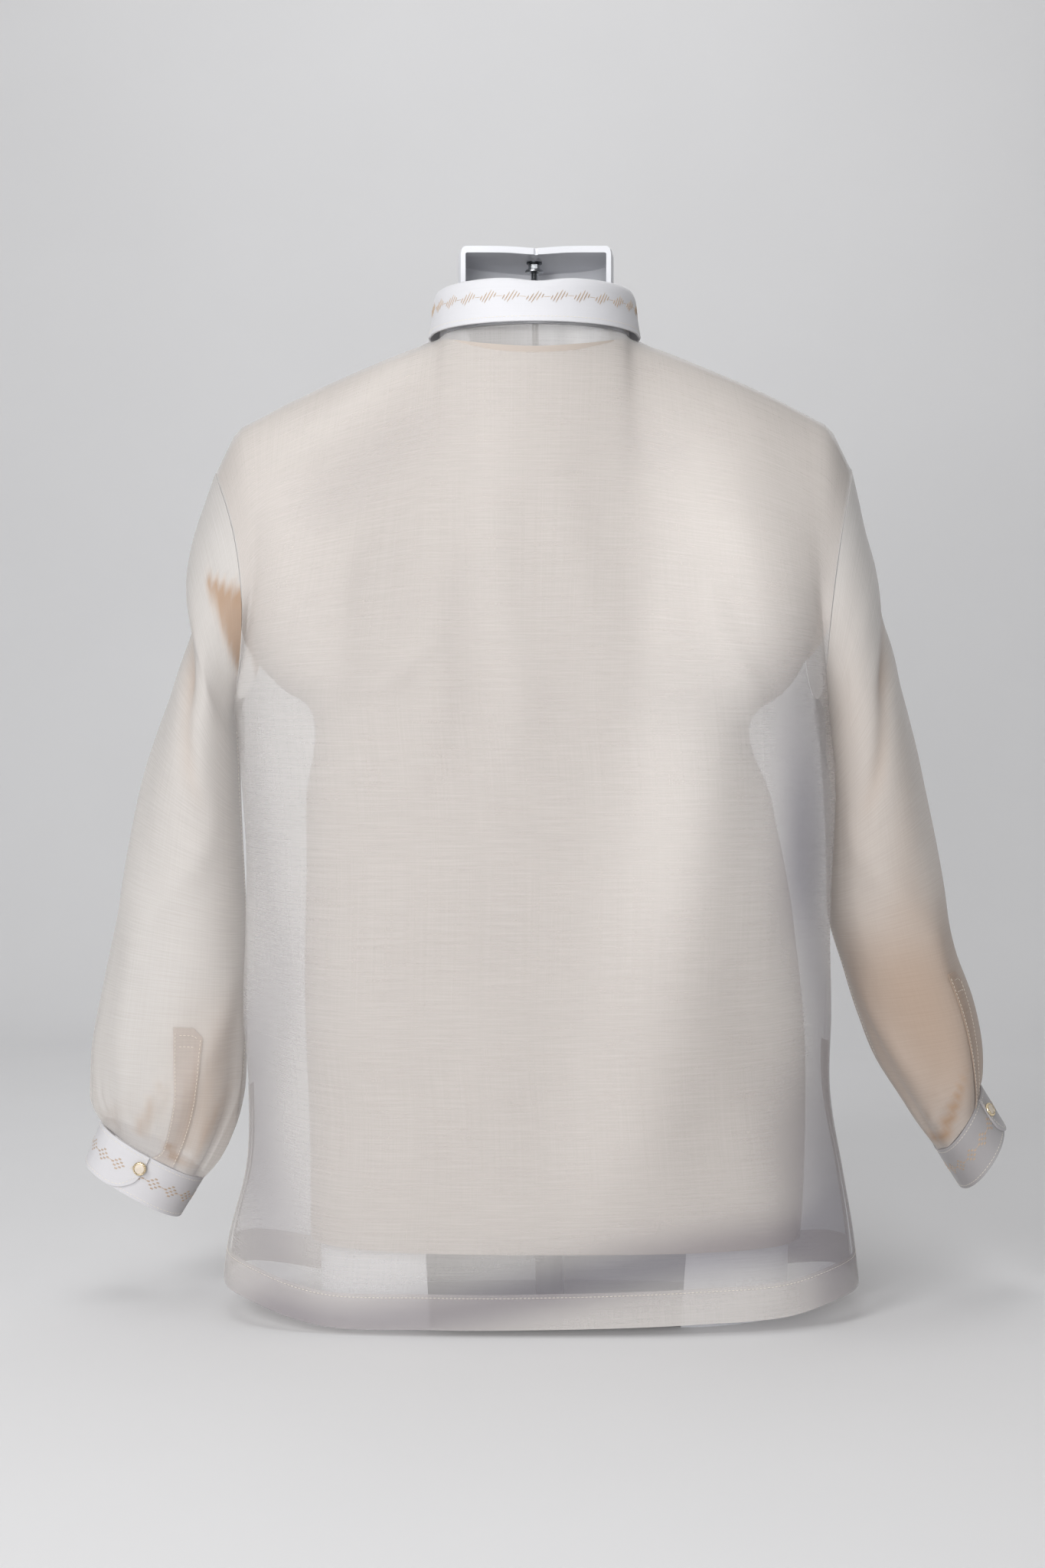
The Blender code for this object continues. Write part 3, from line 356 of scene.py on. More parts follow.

# Cloth of the whole shirt: a sheer off-white weave of fine leaf fibre and silk. Thicker
# threads, the slubs, run across each piece, and light passes through between the threads.
# Where a piece's "shade" is high, its colour is mixed toward a painted shade tone, for
# fold shadows and the fall of light; sleeve cloth is also made closer there, as if doubled.

SHEER_WHITE = (0.87, 0.84, 0.81)
SHEER_COVER = 0.31
# painted shade tones: warm for the sleeves, bands and plackets, cool for the body's sheer
WARM_PAINTED_SHADE = (0.50, 0.34, 0.23)
COOL_PAINTED_SHADE = (0.36, 0.34, 0.38)
UNEVEN_COVER = 0.09
DOUBLED_COVER = 0.42
SHEER_SKIN = 0.00035
SLUB_LENGTH = 0.045
SLUB_PITCH = 0.0011
THREAD_STRENGTH = 0.15
THREAD_RISE = 0.0001


def woven(
    name, colour, cover, roughness=0.6, sheen=0.25, tone=0.03, painted_shade_tone=WARM_PAINTED_SHADE, doubled=0.0
):
    """Cloth with slubs: uneven cover and tone, raised threads, painted shade by attribute."""
    material, nodes, links, shader = new_material(name, colour, roughness, sheen=sheen)
    shader.inputs["Sheen Roughness"].default_value = 0.4
    flat = nodes.new("ShaderNodeUVMap")
    flat.uv_map = "cloth"

    def streaks(across, down, detail):
        stretch = nodes.new("ShaderNodeMapping")
        stretch.inputs["Scale"].default_value = (1 / across, 1 / down, 1)
        noise = nodes.new("ShaderNodeTexNoise")
        noise.inputs["Scale"].default_value = 1
        noise.inputs["Detail"].default_value = detail
        noise.inputs["Roughness"].default_value = 0.6
        links.new(flat.outputs["UV"], stretch.inputs["Vector"])
        links.new(stretch.outputs["Vector"], noise.inputs["Vector"])
        return noise.outputs["Fac"]

    def mixed(first, second, share):
        mix = nodes.new("ShaderNodeMix")
        mix.data_type = "FLOAT"
        mix.inputs["Factor"].default_value = share
        links.new(first, mix.inputs["A"])
        links.new(second, mix.inputs["B"])
        return mix.outputs["Result"]

    slubs = streaks(SLUB_LENGTH, SLUB_PITCH, 3)
    warp = streaks(SLUB_PITCH * 0.8, SLUB_LENGTH * 3, 2)
    cloudy = streaks(0.05, 0.05, 2)
    threads = mixed(slubs, warp, 0.3)
    uneven = mixed(threads, cloudy, 0.35)
    ramp = nodes.new("ShaderNodeValToRGB")
    ramp.color_ramp.elements[0].position = 0.32
    ramp.color_ramp.elements[0].color = (*[v * (1 - tone) for v in colour], 1)
    ramp.color_ramp.elements[1].position = 0.68
    ramp.color_ramp.elements[1].color = (*[min(1, v * (1 + tone)) for v in colour], 1)
    links.new(uneven, ramp.inputs["Fac"])
    # painted shade: the shade attribute mixes the colour toward the darker tone
    folds = nodes.new("ShaderNodeAttribute")
    folds.attribute_name = "shade"
    deep = nodes.new("ShaderNodeMix")
    deep.data_type = "RGBA"
    deep.inputs["B"].default_value = (*painted_shade_tone, 1)
    links.new(folds.outputs["Fac"], deep.inputs["Factor"])
    links.new(ramp.outputs["Color"], deep.inputs["A"])
    links.new(deep.outputs["Result"], shader.inputs["Base Color"])
    if cover < 1:
        fill = nodes.new("ShaderNodeMapRange")
        fill.inputs["From Min"].default_value = 0.3
        fill.inputs["From Max"].default_value = 0.7
        fill.inputs["To Min"].default_value = cover * (1 - UNEVEN_COVER)
        fill.inputs["To Max"].default_value = min(1, cover * (1 + UNEVEN_COVER))
        links.new(threads, fill.inputs["Value"])
        closer = nodes.new("ShaderNodeMath")
        closer.operation = "MULTIPLY_ADD"
        closer.use_clamp = True
        closer.inputs[1].default_value = doubled
        links.new(folds.outputs["Fac"], closer.inputs[0])
        links.new(fill.outputs["Result"], closer.inputs[2])
        links.new(closer.outputs["Value"], shader.inputs["Alpha"])
    raised = nodes.new("ShaderNodeBump")
    raised.inputs["Strength"].default_value = THREAD_STRENGTH
    raised.inputs["Distance"].default_value = THREAD_RISE
    links.new(threads, raised.inputs["Height"])
    links.new(raised.outputs["Normal"], shader.inputs["Normal"])
    return material


sheer = woven("sheer leaf-fibre cloth", SHEER_WHITE, SHEER_COVER, painted_shade_tone=COOL_PAINTED_SHADE)

# Inner layer: a plain cream cotton body under the sheer cloth, a back and a front with a
# scooped neck and a raised hem. It lies in the panels' folds, so that the shirt's sizes,
# and the tables of folds and of painted light and shade, stand here.

SEAM = 0.0003
ARMPIT_Z = 0.470
HEM_BAND = 0.026
PANEL_COLUMNS = 20
FACING_SHARE = 0.028
SHOULDER_COLUMNS = 7
SEAM_STEPS = 14
BODY_STEPS = 7
EASED_ABOVE = 5
EASED_BELOW = 2
EASING_PASSES = 12
BODY = (
    # z, left, right, back, front, vent
    (0.000, -0.2470, 0.2440, 0.099, 0.104, 0.0110),
    (0.040, -0.2445, 0.2400, 0.100, 0.105, 0.0095),
    (0.090, -0.2350, 0.2340, 0.101, 0.107, 0.0060),
    (0.135, -0.2240, 0.2240, 0.102, 0.108, 0.0025),
    (0.180, -0.2290, 0.2180, 0.102, 0.109, 0.0000),
    (0.240, -0.2320, 0.2195, 0.103, 0.110, 0.0000),
    (0.300, -0.2300, 0.2205, 0.104, 0.111, 0.0000),
    (0.380, -0.2305, 0.2205, 0.106, 0.112, 0.0000),
    (0.440, -0.2350, 0.2175, 0.108, 0.113, 0.0000),
    (0.470, -0.2360, 0.2130, 0.109, 0.113, 0.0000),
)
BACK_FULLNESS = 3.0
FRONT_FULLNESS = 2.4
SHOULDER_ROUND = 1.2
SHOULDER_REACH = 2.4
ARMHOLE_PULL = 3
HEM = (
    # x, z
    (-0.248, 0.0300),
    (-0.215, 0.0190),
    (-0.180, 0.0080),
    (-0.100, 0.0050),
    (0.000, 0.0055),
    (0.110, 0.0090),
    (0.165, 0.0120),
    (0.205, 0.0220),
    (0.248, 0.0320),
)
NECK_X = -0.0070
NECK_A = 0.0755
NECK_B = 0.0740
NECK_SIDE_Z = 0.7490
NECK_BACK_Z = 0.7475
NECK_FRONT_Z = 0.6960
SHOULDER_Y = 0.002
SHOULDER_FALL = (
    # share of the seam's run, share of its height that is left
    (0.00, 1.000),
    (0.32, 0.780),
    (0.53, 0.630),
    (0.67, 0.533),
    (0.79, 0.440),
    (0.885, 0.285),
    (0.953, 0.140),
    (1.00, 0.000),
)
ARMHOLES = {
    # side: outer x, outer z, inner x, inner z, half depth, middle y, bow, pleats
    "left": (-0.2530, 0.6445, -0.2360, 0.4700, 0.085, 0.000, 0.0190, 0.0000),
    "right": (0.2365, 0.6480, 0.2130, 0.4700, 0.085, 0.000, -0.0090, 0.0000),
}
RING_FULLNESS = 2.15
RING_TILT = 0.18
PLEATS = 9
PLEAT_SHIFT = 2.2
LINING_BODY = (
    # z, left, right, back, front
    (0.057, -0.1800, 0.1980, 0.0950, 0.0990),
    (0.155, -0.1805, 0.2015, 0.0970, 0.1010),
    (0.240, -0.1815, 0.1985, 0.0985, 0.1030),
    (0.300, -0.1820, 0.1895, 0.0995, 0.1045),
    (0.360, -0.1830, 0.1765, 0.1005, 0.1060),
    (0.430, -0.1850, 0.1630, 0.1030, 0.1070),
    (0.470, -0.1880, 0.1620, 0.1040, 0.1075),
)
LINING_INSET = 0.0017
LINING_HEM_Z = 0.057
LINING_STEPS = 5
LINING_FULLNESS = 2.8
NECK_DIP_ROWS = 2.3
LINING_DRIFT_START = 0.6
LINING_SKIN = 0.0006
LINING_SPACING = 0.008
LINING_CUTS = {"back": ((0.50, 0.74), 0.34), "front": ((0.50, 0.72), 0.33)}
CREAM = (0.77, 0.71, 0.66)
EDGE_EASE = 0.020
# painted shade: a trough this deep gets the full painted fold shadow
TROUGH_DEPTH = 0.014
# painted shade: base amounts for the inner layer and the sheer panels, and the inner layer's darker
# tone
INNER_BASE_PAINTED_SHADE = 0.70
SHEER_BASE_PAINTED_SHADE = 0.10
CREAM_PAINTED_SHADE = (0.44, 0.37, 0.32)
WANDER = 0.06
WANDER_TURNS = 4
CALM_REACH = 0.035
CALM_SPAN = 0.10
NECK_CALM = (0.042, 0.05, 0.11)
BACK_FOLDS = (
    # x, z, lean in degrees from upright, length, width, rise
    (-0.128, 0.640, 62, 0.120, 0.022, -0.0012),
    (0.118, 0.640, -62, 0.120, 0.022, -0.0012),
    (0.172, 0.500, -4, 0.260, 0.034, 0.0080),
    (0.105, 0.300, 17, 0.330, 0.034, 0.0070),
    (-0.030, 0.520, 2, 0.170, 0.020, 0.0034),
    (-0.078, 0.500, 12, 0.130, 0.014, 0.0022),
    (0.030, 0.560, -6, 0.160, 0.022, 0.0024),
    (0.138, 0.500, -14, 0.080, 0.008, 0.0026),
    (-0.150, 0.520, 14, 0.110, 0.012, 0.0028),
    (-0.104, 0.487, 48, 0.036, 0.005, 0.0018),
    (-0.092, 0.496, 50, 0.034, 0.004, 0.0014),
    (-0.195, 0.330, 3, 0.300, 0.014, 0.0030),
    (0.196, 0.300, -3, 0.260, 0.014, 0.0030),
    (-0.120, 0.180, -6, 0.200, 0.030, 0.0026),
    (0.150, 0.140, -8, 0.180, 0.026, 0.0024),
    (-0.030, 0.120, 5, 0.160, 0.028, 0.0018),
)
# painted light and shade on the inner layer: positive rows darken it, negative rows lift the base
# shade as painted light
INNER_PAINTED_LIGHT_AND_SHADE = (
    # x, z, lean in degrees from upright, length, width, amount
    (0.112, 0.590, 0, 0.220, 0.050, -0.62),
    (0.105, 0.430, 12, 0.240, 0.042, -0.68),
    (0.050, 0.280, 17, 0.300, 0.036, -0.30),
    (0.195, 0.500, 0, 0.260, 0.020, -0.30),
    (-0.190, 0.580, 0, 0.300, 0.030, -0.30),
    (-0.030, 0.560, 2, 0.240, 0.024, -0.22),
    (-0.130, 0.700, 60, 0.120, 0.016, -0.40),
    (0.118, 0.690, 0, 0.060, 0.040, 0.20),
    (0.140, 0.130, -10, 0.200, 0.050, 0.25),
)
# painted shade on the sheer panels: darker sides, and the hem strip over the form's rim
SHEER_PAINTED_SHADES = (
    # x, z, lean in degrees from upright, length, width, amount
    (-0.212, 0.100, 0, 0.240, 0.030, 0.45),
    (-0.207, 0.330, 0, 0.200, 0.024, 0.16),
    (0.212, 0.240, 0, 0.300, 0.018, 0.60),
    (0.192, 0.400, 5, 0.150, 0.022, 0.50),
    (0.212, 0.080, 0, 0.180, 0.030, 0.60),
    (0.010, 0.036, 90, 0.500, 0.020, 0.80),
)
FRONT_FOLDS = (
    # x, z, lean in degrees from upright, length, width, rise
    (-0.120, 0.640, 58, 0.110, 0.020, -0.0016),
    (0.110, 0.640, -58, 0.110, 0.020, -0.0016),
    (-0.075, 0.500, -8, 0.170, 0.016, 0.0030),
    (0.085, 0.510, 10, 0.190, 0.016, 0.0034),
    (-0.140, 0.460, 16, 0.130, 0.010, 0.0028),
    (0.135, 0.450, -14, 0.120, 0.010, 0.0026),
    (-0.100, 0.300, -12, 0.260, 0.024, 0.0032),
    (0.110, 0.280, 12, 0.240, 0.022, 0.0032),
    (-0.060, 0.140, 6, 0.180, 0.026, 0.0022),
    (0.150, 0.150, -5, 0.170, 0.022, 0.0024),
)


def neck_point(turn):
    """The neck seam: 0 at the left side, a quarter turn at the middle of the back."""
    lift = NECK_BACK_Z if math.sin(turn) > 0 else NECK_FRONT_Z
    return np.array(
        (
            NECK_X - NECK_A * math.cos(turn),
            SHOULDER_Y - NECK_B * math.sin(turn),
            NECK_SIDE_Z + (lift - NECK_SIDE_Z) * math.sin(turn) ** 2,
        )
    )


def ring_point(row, turn, pleated=True):
    """A sleeve ring: 0 at its outer point, a quarter turn at the back."""
    outer_x, outer_z, inner_x, inner_z, half_depth, middle_y, bow, pleats = row
    along = rounded(math.cos(turn), RING_FULLNESS)
    depth = rounded(math.sin(turn), RING_FULLNESS)
    if pleated:
        wave = math.cos(PLEATS * turn + PLEAT_SHIFT * math.sin(2 * turn))
        swell = 1 + pleats / half_depth * wave
        along *= swell
        depth *= swell
    lean = max(0, RING_TILT * half_depth * min(1, 0.5 - outer_z))
    middle_x, half_x = (outer_x + inner_x) / 2, (outer_x - inner_x) / 2
    middle_z, half_z = (outer_z + inner_z) / 2, (outer_z - inner_z) / 2
    return np.array(
        (
            middle_x + half_x * along + bow * math.sin(turn) ** 2,
            middle_y - half_depth * depth,
            middle_z + half_z * along - lean * depth,
        )
    )


def shoulder_point(share, tip, neck):
    """A point of the shoulder seam, from the tip at 0 to the neck at 1."""
    run = 1 - share
    keys, left = zip(*SHOULDER_FALL)
    height = float(np.interp(run, keys, left))
    level = neck[:2] + (tip[:2] - neck[:2]) * run
    return np.array((*level, tip[2] + (neck[2] - tip[2]) * height))


def half_section(left, right, depth, seam_y, fullness):
    """Half of a level section from the left side seam to the right one."""
    middle, half = (left + right) / 2, (right - left) / 2
    return np.array(
        [
            (
                middle - half * rounded(math.cos(t), fullness),
                seam_y + depth * abs(math.sin(t)) ** (2 / fullness),
            )
            for t in np.linspace(0, math.pi, 121)
        ]
    )


def along_section(points, share):
    run = np.concatenate([[0], np.cumsum(np.linalg.norm(np.diff(points, axis=0), axis=1))])
    return np.array([np.interp(share * run[-1], run, points[:, k]) for k in range(2)])


def column_shares():
    """Where the columns cross the panel, with a line at each facing's inner edge."""
    inside = np.linspace(FACING_SHARE, 1 - FACING_SHARE, PANEL_COLUMNS - 1)
    return np.concatenate([[0], inside, [1]])


def body_point(z, share, behind):
    """A point of the shirt's back (or front) below the armpits."""
    _, left, right, back, front, vent = smooth(BODY, z)
    vent = max(0, vent)
    if behind:
        section = half_section(left, right, -back, -SEAM / 2 - vent, BACK_FULLNESS)
    else:
        section = half_section(left, right, front, SEAM / 2 + vent, FRONT_FULLNESS)
    return np.array((*along_section(section, share), z))


SEAM_TURNS = [math.pi * i / SEAM_STEPS for i in range(SEAM_STEPS + 1)]
NECK_STEP = math.pi / (PANEL_COLUMNS - 2 * SHOULDER_COLUMNS)


def top_edge(column, behind):
    """The panel's top edge: shoulder seam, half of the neck seam, shoulder seam."""
    gap = np.array((0, (-1 if behind else 1) * SEAM / 2, 0))
    from_right = PANEL_COLUMNS - column
    if column <= SHOULDER_COLUMNS:
        tip = ring_point(ARMHOLES["left"], 0)
        return shoulder_point(column / SHOULDER_COLUMNS, tip, neck_point(0)) + gap
    if from_right <= SHOULDER_COLUMNS:
        tip = ring_point(ARMHOLES["right"], 0)
        return shoulder_point(from_right / SHOULDER_COLUMNS, tip, neck_point(math.pi)) + gap
    turn = NECK_STEP * (column - SHOULDER_COLUMNS)
    return neck_point(turn if behind else -turn) + gap


def panel_grid(behind):
    """The back (or the whole front) from its top edge to the hem."""
    side = 1 if behind else -1
    shares = column_shares()
    low = [body_point(ARMPIT_Z, share, behind) for share in shares]
    high = [top_edge(i, behind) for i in range(len(shares))]
    rows = []
    for turn in SEAM_TURNS:
        level = (1 + math.cos(turn)) / 2
        swing = math.acos(min(1, level**SHOULDER_ROUND))
        outward = math.sin(swing) ** (2 / SHOULDER_REACH)
        edges = [ring_point(ARMHOLES[arm], side * turn) for arm in ("left", "right")]
        for edge in edges:
            edge[1] = -side * max(-side * edge[1], SEAM / 2)
        reach = np.array((1 - level, outward, 1 - level))
        row = np.array([start + (end - start) * reach for start, end in zip(high, low)])
        pulls = [edges[0] - row[0], edges[1] - row[-1]]
        for i, share in enumerate(shares):
            spread = abs(2 * share - 1) ** ARMHOLE_PULL
            row[i] = row[i] + pulls[0 if share < 0.5 else 1] * spread
        rows.append(row)
    hem = [smooth(HEM, point[0])[1] for point in low]
    band = [HEM_BAND / (ARMPIT_Z - z) for z in hem]
    drops = [[(i + 1) / BODY_STEPS * (1 - part) for part in band] for i in range(BODY_STEPS)]
    drops += [[1 - part * (1 - down) for part in band] for down in (0.5, 1.0)]
    for drop in drops:
        levels = [ARMPIT_Z + (z - ARMPIT_Z) * d for z, d in zip(hem, drop)]
        rows.append(np.array([body_point(z, share, behind) for z, share in zip(levels, shares)]))
    return eased(np.array(rows))


def eased(grid):
    """Smooths the depth of the rows about the armpits, where shoulders meet the body."""
    first, last = SEAM_STEPS - EASED_ABOVE, SEAM_STEPS + EASED_BELOW
    rows, above, below = (slice(first + k, last + k) for k in (0, -1, 1))
    for _ in range(EASING_PASSES):
        mean = (grid[above, 1:-1, 1] + grid[below, 1:-1, 1]) / 2
        grid[rows, 1:-1, 1] = (grid[rows, 1:-1, 1] + mean) / 2
    return grid


def normals_of(grid, closed=False):
    """Unit normals of a grid, outward where its columns run to the right seen from outside."""
    down = np.gradient(grid, axis=0)
    if closed:
        across = (np.roll(grid, -1, axis=1) - np.roll(grid, 1, axis=1)) / 2
    else:
        across = np.gradient(grid, axis=1)
    return unit(np.cross(down, across))


def between(grid, row, column):
    """A point of the grid at a row and column that may lie between its own."""
    low_row, low_column = min(int(row), len(grid) - 2), min(int(column), grid.shape[1] - 2)
    r, c = row - low_row, column - low_column
    upper = grid[low_row, low_column] * (1 - c) + grid[low_row, low_column + 1] * c
    lower = grid[low_row + 1, low_column] * (1 - c) + grid[low_row + 1, low_column + 1] * c
    return upper * (1 - r) + lower * r


def lengths(grid, axis):
    """Mean distance along the grid from its first row (axis 0) or column (axis 1)."""
    steps = np.linalg.norm(np.diff(grid, axis=axis), axis=-1).mean(axis=1 - axis)
    return np.concatenate([[0], np.cumsum(steps)])


WRAP = 3


class Cloth:
    """A smooth sheet through a grid of points, laid out flat as metres across and down."""

    def __init__(self, grid, spacing, facing, closed=False):
        self.closed = closed
        if closed:
            grid = np.concatenate([grid[:, -WRAP:], grid, grid[:, : WRAP + 1]], axis=1)
        self.row_keys = lengths(grid, 0)
        self.column_keys = lengths(grid, 1)
        first, last = 0, self.column_keys[-1]
        if closed:
            first, last = self.column_keys[WRAP], self.column_keys[-WRAP - 1]
        rows = max(2, round(self.row_keys[-1] / spacing)) + 1
        columns = max(2, round((last - first) / spacing)) + 1
        self.down = np.linspace(0, self.row_keys[-1], rows)
        across = np.linspace(first, last, columns)
        tall = curve_at(self.row_keys, grid, self.down)
        wide = curve_at(self.column_keys, tall.transpose(1, 0, 2), across)
        self.points = wide.transpose(1, 0, 2)
        self.across = across - first
        self.column_keys = self.column_keys - first
        if closed:
            self.column_keys = self.column_keys[WRAP:-WRAP]
        self.facing = facing
        self.shade = np.zeros((rows, columns))
        self.settle()

    def settle(self):
        """Works the normals out again, after the points have moved."""
        points = self.points
        if self.closed:
            points = np.concatenate([points[:, -2:-1], points, points[:, 1:2]], axis=1)
        normals = normals_of(points)
        self.normals = (normals[:, 1:-1] if self.closed else normals) * self.facing

    def row(self, number):
        """Metres down to a numbered row of the coarse grid."""
        return float(np.interp(number, range(len(self.row_keys)), self.row_keys))

    def column(self, number):
        return float(np.interp(number, range(len(self.column_keys)), self.column_keys))

    def at(self, across, down, lift=0.0):
        """Points and normals at flat coordinates, lifted off the sheet."""
        c = np.interp(across, self.across, np.arange(len(self.across)))
        r = np.interp(down, self.down, np.arange(len(self.down)))
        k = np.minimum(c.astype(int), len(self.across) - 2)
        i = np.minimum(r.astype(int), len(self.down) - 2)
        c, r = (c - k)[..., None], (r - i)[..., None]

        def read(values):
            upper = values[i, k] * (1 - c) + values[i, k + 1] * c
            lower = values[i + 1, k] * (1 - c) + values[i + 1, k + 1] * c
            return upper * (1 - r) + lower * r

        normals = unit(read(self.normals))
        return read(self.points) + normals * lift, normals

    def tone(self, across, down):
        """How deep the cloth's painted shade is at flat coordinates, by its nearest point."""
        k = np.searchsorted(self.across, across).clip(0, len(self.across) - 1)
        i = np.searchsorted(self.down, down).clip(0, len(self.down) - 1)
        return self.shade[i, k]

    def piece(self, name, thickness, material):
        across, down = np.meshgrid(self.across, -self.down)
        uvs = np.stack([across, down], axis=-1)
        way = slice(None, None, self.facing)
        points, normals = self.points[:, way], self.normals[:, way]
        inner = points - normals * thickness
        shade = np.clip(self.shade[:, way], 0, 1)
        return shell(name, points, inner, material, uvs[:, way], shade=shade)


def waves(place, rows):
    """The sum of long soft waves at each place, from rows of where, lean, size and height."""
    height = np.zeros(place.shape[:2])
    for first, second, lean, length, width, rise in rows:
        angle = math.radians(lean)
        run = np.array((math.sin(angle), math.cos(angle)))
        offset = place - np.array((first, second))
        along = offset @ run
        aside = offset @ np.array((run[1], -run[0]))
        wander = aside + WANDER * length * np.sin(along / length * WANDER_TURNS)
        height += rise * np.exp(-((wander / width) ** 2) - (along / length * 1.6) ** 4)
    return height


def folded(cloth, place, folds, ease):
    """Raises soft ridges, or troughs, on a cloth. place gives each point's two coordinates."""
    height = waves(place, folds) * ease
    cloth.points = cloth.points + cloth.normals * height[..., None]
    # painted shade: the troughs are darkened in colour, as fold shadow
    cloth.shade += np.clip(-height / TROUGH_DEPTH, 0, 1)
    cloth.settle()


def painted_light_and_shade(cloth, base, tones):
    """Paints shade, and light where negative, into a cloth by x and z: a base and soft patches."""
    cloth.shade += base + waves(cloth.points[..., [0, 2]], tones)


def painted_wedge_shadows(cloth, rows):
    """Paints fold shadow inside soft-edged triangles of x and z, where a fold is turned in."""
    place = cloth.points[..., [0, 2]]
    for first, second, third, soft, amount in rows:
        inside = np.ones(place.shape[:2])
        corners = np.array((first, second, third))
        for start, end in zip(corners, np.roll(corners, -1, axis=0)):
            run = unit(end - start)
            depth = (place - start) @ np.array((-run[1], run[0]))
            inside *= soft_step(depth / soft + 0.5)
        cloth.shade += amount * inside


def calmed(cloth):
    """Smooths the depth of a panel about the armpits, where shoulders meet the body."""
    gaps = cloth.down[:, None] - cloth.down[None]
    spread = np.exp(-((gaps / CALM_REACH) ** 2))
    depth = spread @ cloth.points[..., 1] / spread.sum(axis=1, keepdims=True)
    near = np.exp(-(((cloth.down - cloth.row(SEAM_STEPS)) / CALM_SPAN) ** 2))
    share = near[:, None] * edge_ease(cloth)
    cloth.points[..., 1] += (depth - cloth.points[..., 1]) * share
    reach, top, span = NECK_CALM
    gaps = cloth.across[:, None] - cloth.across[None]
    spread = np.exp(-((gaps / reach) ** 2))
    near = np.exp(-(((cloth.down - top) / span) ** 2))
    share = near[:, None] * edge_ease(cloth)
    for axis in (1, 2):
        level = cloth.points[..., axis] @ spread / spread.sum(axis=0)
        cloth.points[..., axis] += (level - cloth.points[..., axis]) * share
    cloth.settle()


def edge_ease(cloth):
    """Nought at the sheet's edges, growing to one at a distance from them."""
    rows = np.minimum(cloth.down, cloth.down[-1] - cloth.down)
    columns = np.minimum(cloth.across, cloth.across[-1] - cloth.across)
    return soft_step(np.minimum.outer(rows, columns) / EDGE_EASE)


back_grid = panel_grid(True)
front_grid = panel_grid(False)
MIDDLE = PANEL_COLUMNS // 2


def lining_grid(panel, normals, behind):
    """The inner layer's back or front: under the panel above, close to the form below."""
    side = -1 if behind else 1
    neck_half = MIDDLE - SHOULDER_COLUMNS + 0.5

    def low_point(z, share):
        _, left, right, back_depth, front_depth = smooth(LINING_BODY, z)
        depth = -back_depth if behind else front_depth
        section = half_section(left, right, depth, side * SEAM / 2, LINING_FULLNESS)
        return np.array((*along_section(section, share), z))

    grid = []
    for i in range(SEAM_STEPS + 1):
        row = []
        for k, share in enumerate(column_shares()):
            dip = NECK_DIP_ROWS * max(0, 1 - (abs(k - MIDDLE) / neck_half) ** 2)
            at = dip + (SEAM_STEPS - dip) * i / SEAM_STEPS
            point = between(panel, at, k) - LINING_INSET * between(normals, at, k)
            drift = (at / SEAM_STEPS - LINING_DRIFT_START) / (1 - LINING_DRIFT_START)
            drift = soft_step(drift)
            mixed = point * (1 - drift) + low_point(point[2], share) * drift
            mixed[1] = max(mixed[1], point[1]) if behind else min(mixed[1], point[1])
            row.append(mixed)
        grid.append(row)
    for i in range(1, LINING_STEPS + 1):
        z = ARMPIT_Z + (LINING_HEM_Z - ARMPIT_Z) * i / LINING_STEPS
        grid.append([low_point(z, share) for share in column_shares()])
    return np.array(grid)


cream_cotton = woven("cream cotton", CREAM, 1, 0.85, 0.15, 0.03, CREAM_PAINTED_SHADE)
for node, grid, behind in (("lining_back", back_grid, True), ("lining_front", front_grid, False)):
    facing = 1 if behind else -1
    normals = normals_of(grid) * facing
    layer = Cloth(lining_grid(grid, normals, behind), LINING_SPACING, facing)
    calmed(layer)
    ridges = [row for row in (BACK_FOLDS if behind else FRONT_FOLDS) if row[-1] > 0]
    folded(layer, layer.points[..., [0, 2]], ridges, edge_ease(layer))
    # painted light and shade on the inner layer's colour
    painted_light_and_shade(layer, INNER_BASE_PAINTED_SHADE, INNER_PAINTED_LIGHT_AND_SHADE)
    made = layer.piece(f"inner_{'back' if behind else 'front'}", LINING_SKIN, cream_cotton)
    placed(made, node)
    flat, area = LINING_CUTS["back" if behind else "front"]

# Back and fronts: three cuts of the sheer cloth, joined at the shoulders and the side
# seams down to the vents. They hang from the shoulders in broad, shallow folds.

PANEL_SPACING = 0.006


def sheer_piece(cloth, name, node, material=sheer):
    return placed(cloth.piece(name, SHEER_SKIN, material), node)


half_gap = np.array((SEAM / 2, 0, 0))
left_grid, right_grid = front_grid[:, : MIDDLE + 1].copy(), front_grid[:, MIDDLE:].copy()
left_grid[:, -1] -= half_gap
right_grid[:, 0] += half_gap
back_cloth = Cloth(back_grid, PANEL_SPACING, 1)
left_cloth = Cloth(left_grid, PANEL_SPACING, -1)
right_cloth = Cloth(right_grid, PANEL_SPACING, -1)
for cloth, folds in (
    (back_cloth, BACK_FOLDS),
    (left_cloth, FRONT_FOLDS),
    (right_cloth, FRONT_FOLDS),
):
    calmed(cloth)
    folded(cloth, cloth.points[..., [0, 2]], folds, edge_ease(cloth))
    # painted shade on the sheer panels' colour
    painted_light_and_shade(cloth, SHEER_BASE_PAINTED_SHADE, SHEER_PAINTED_SHADES)

sheer_back = sheer_piece(back_cloth, "sheer_back", "back")
sheer_left = sheer_piece(left_cloth, "sheer_front_left", "front_left")
sheer_right = sheer_piece(right_cloth, "sheer_front_right", "front_right")

# Sleeves: one cut each, set into the armholes with a little ease, wide above the cuff and
# gathered into it in small pleats. They hang by their own weight, bent at the elbow.

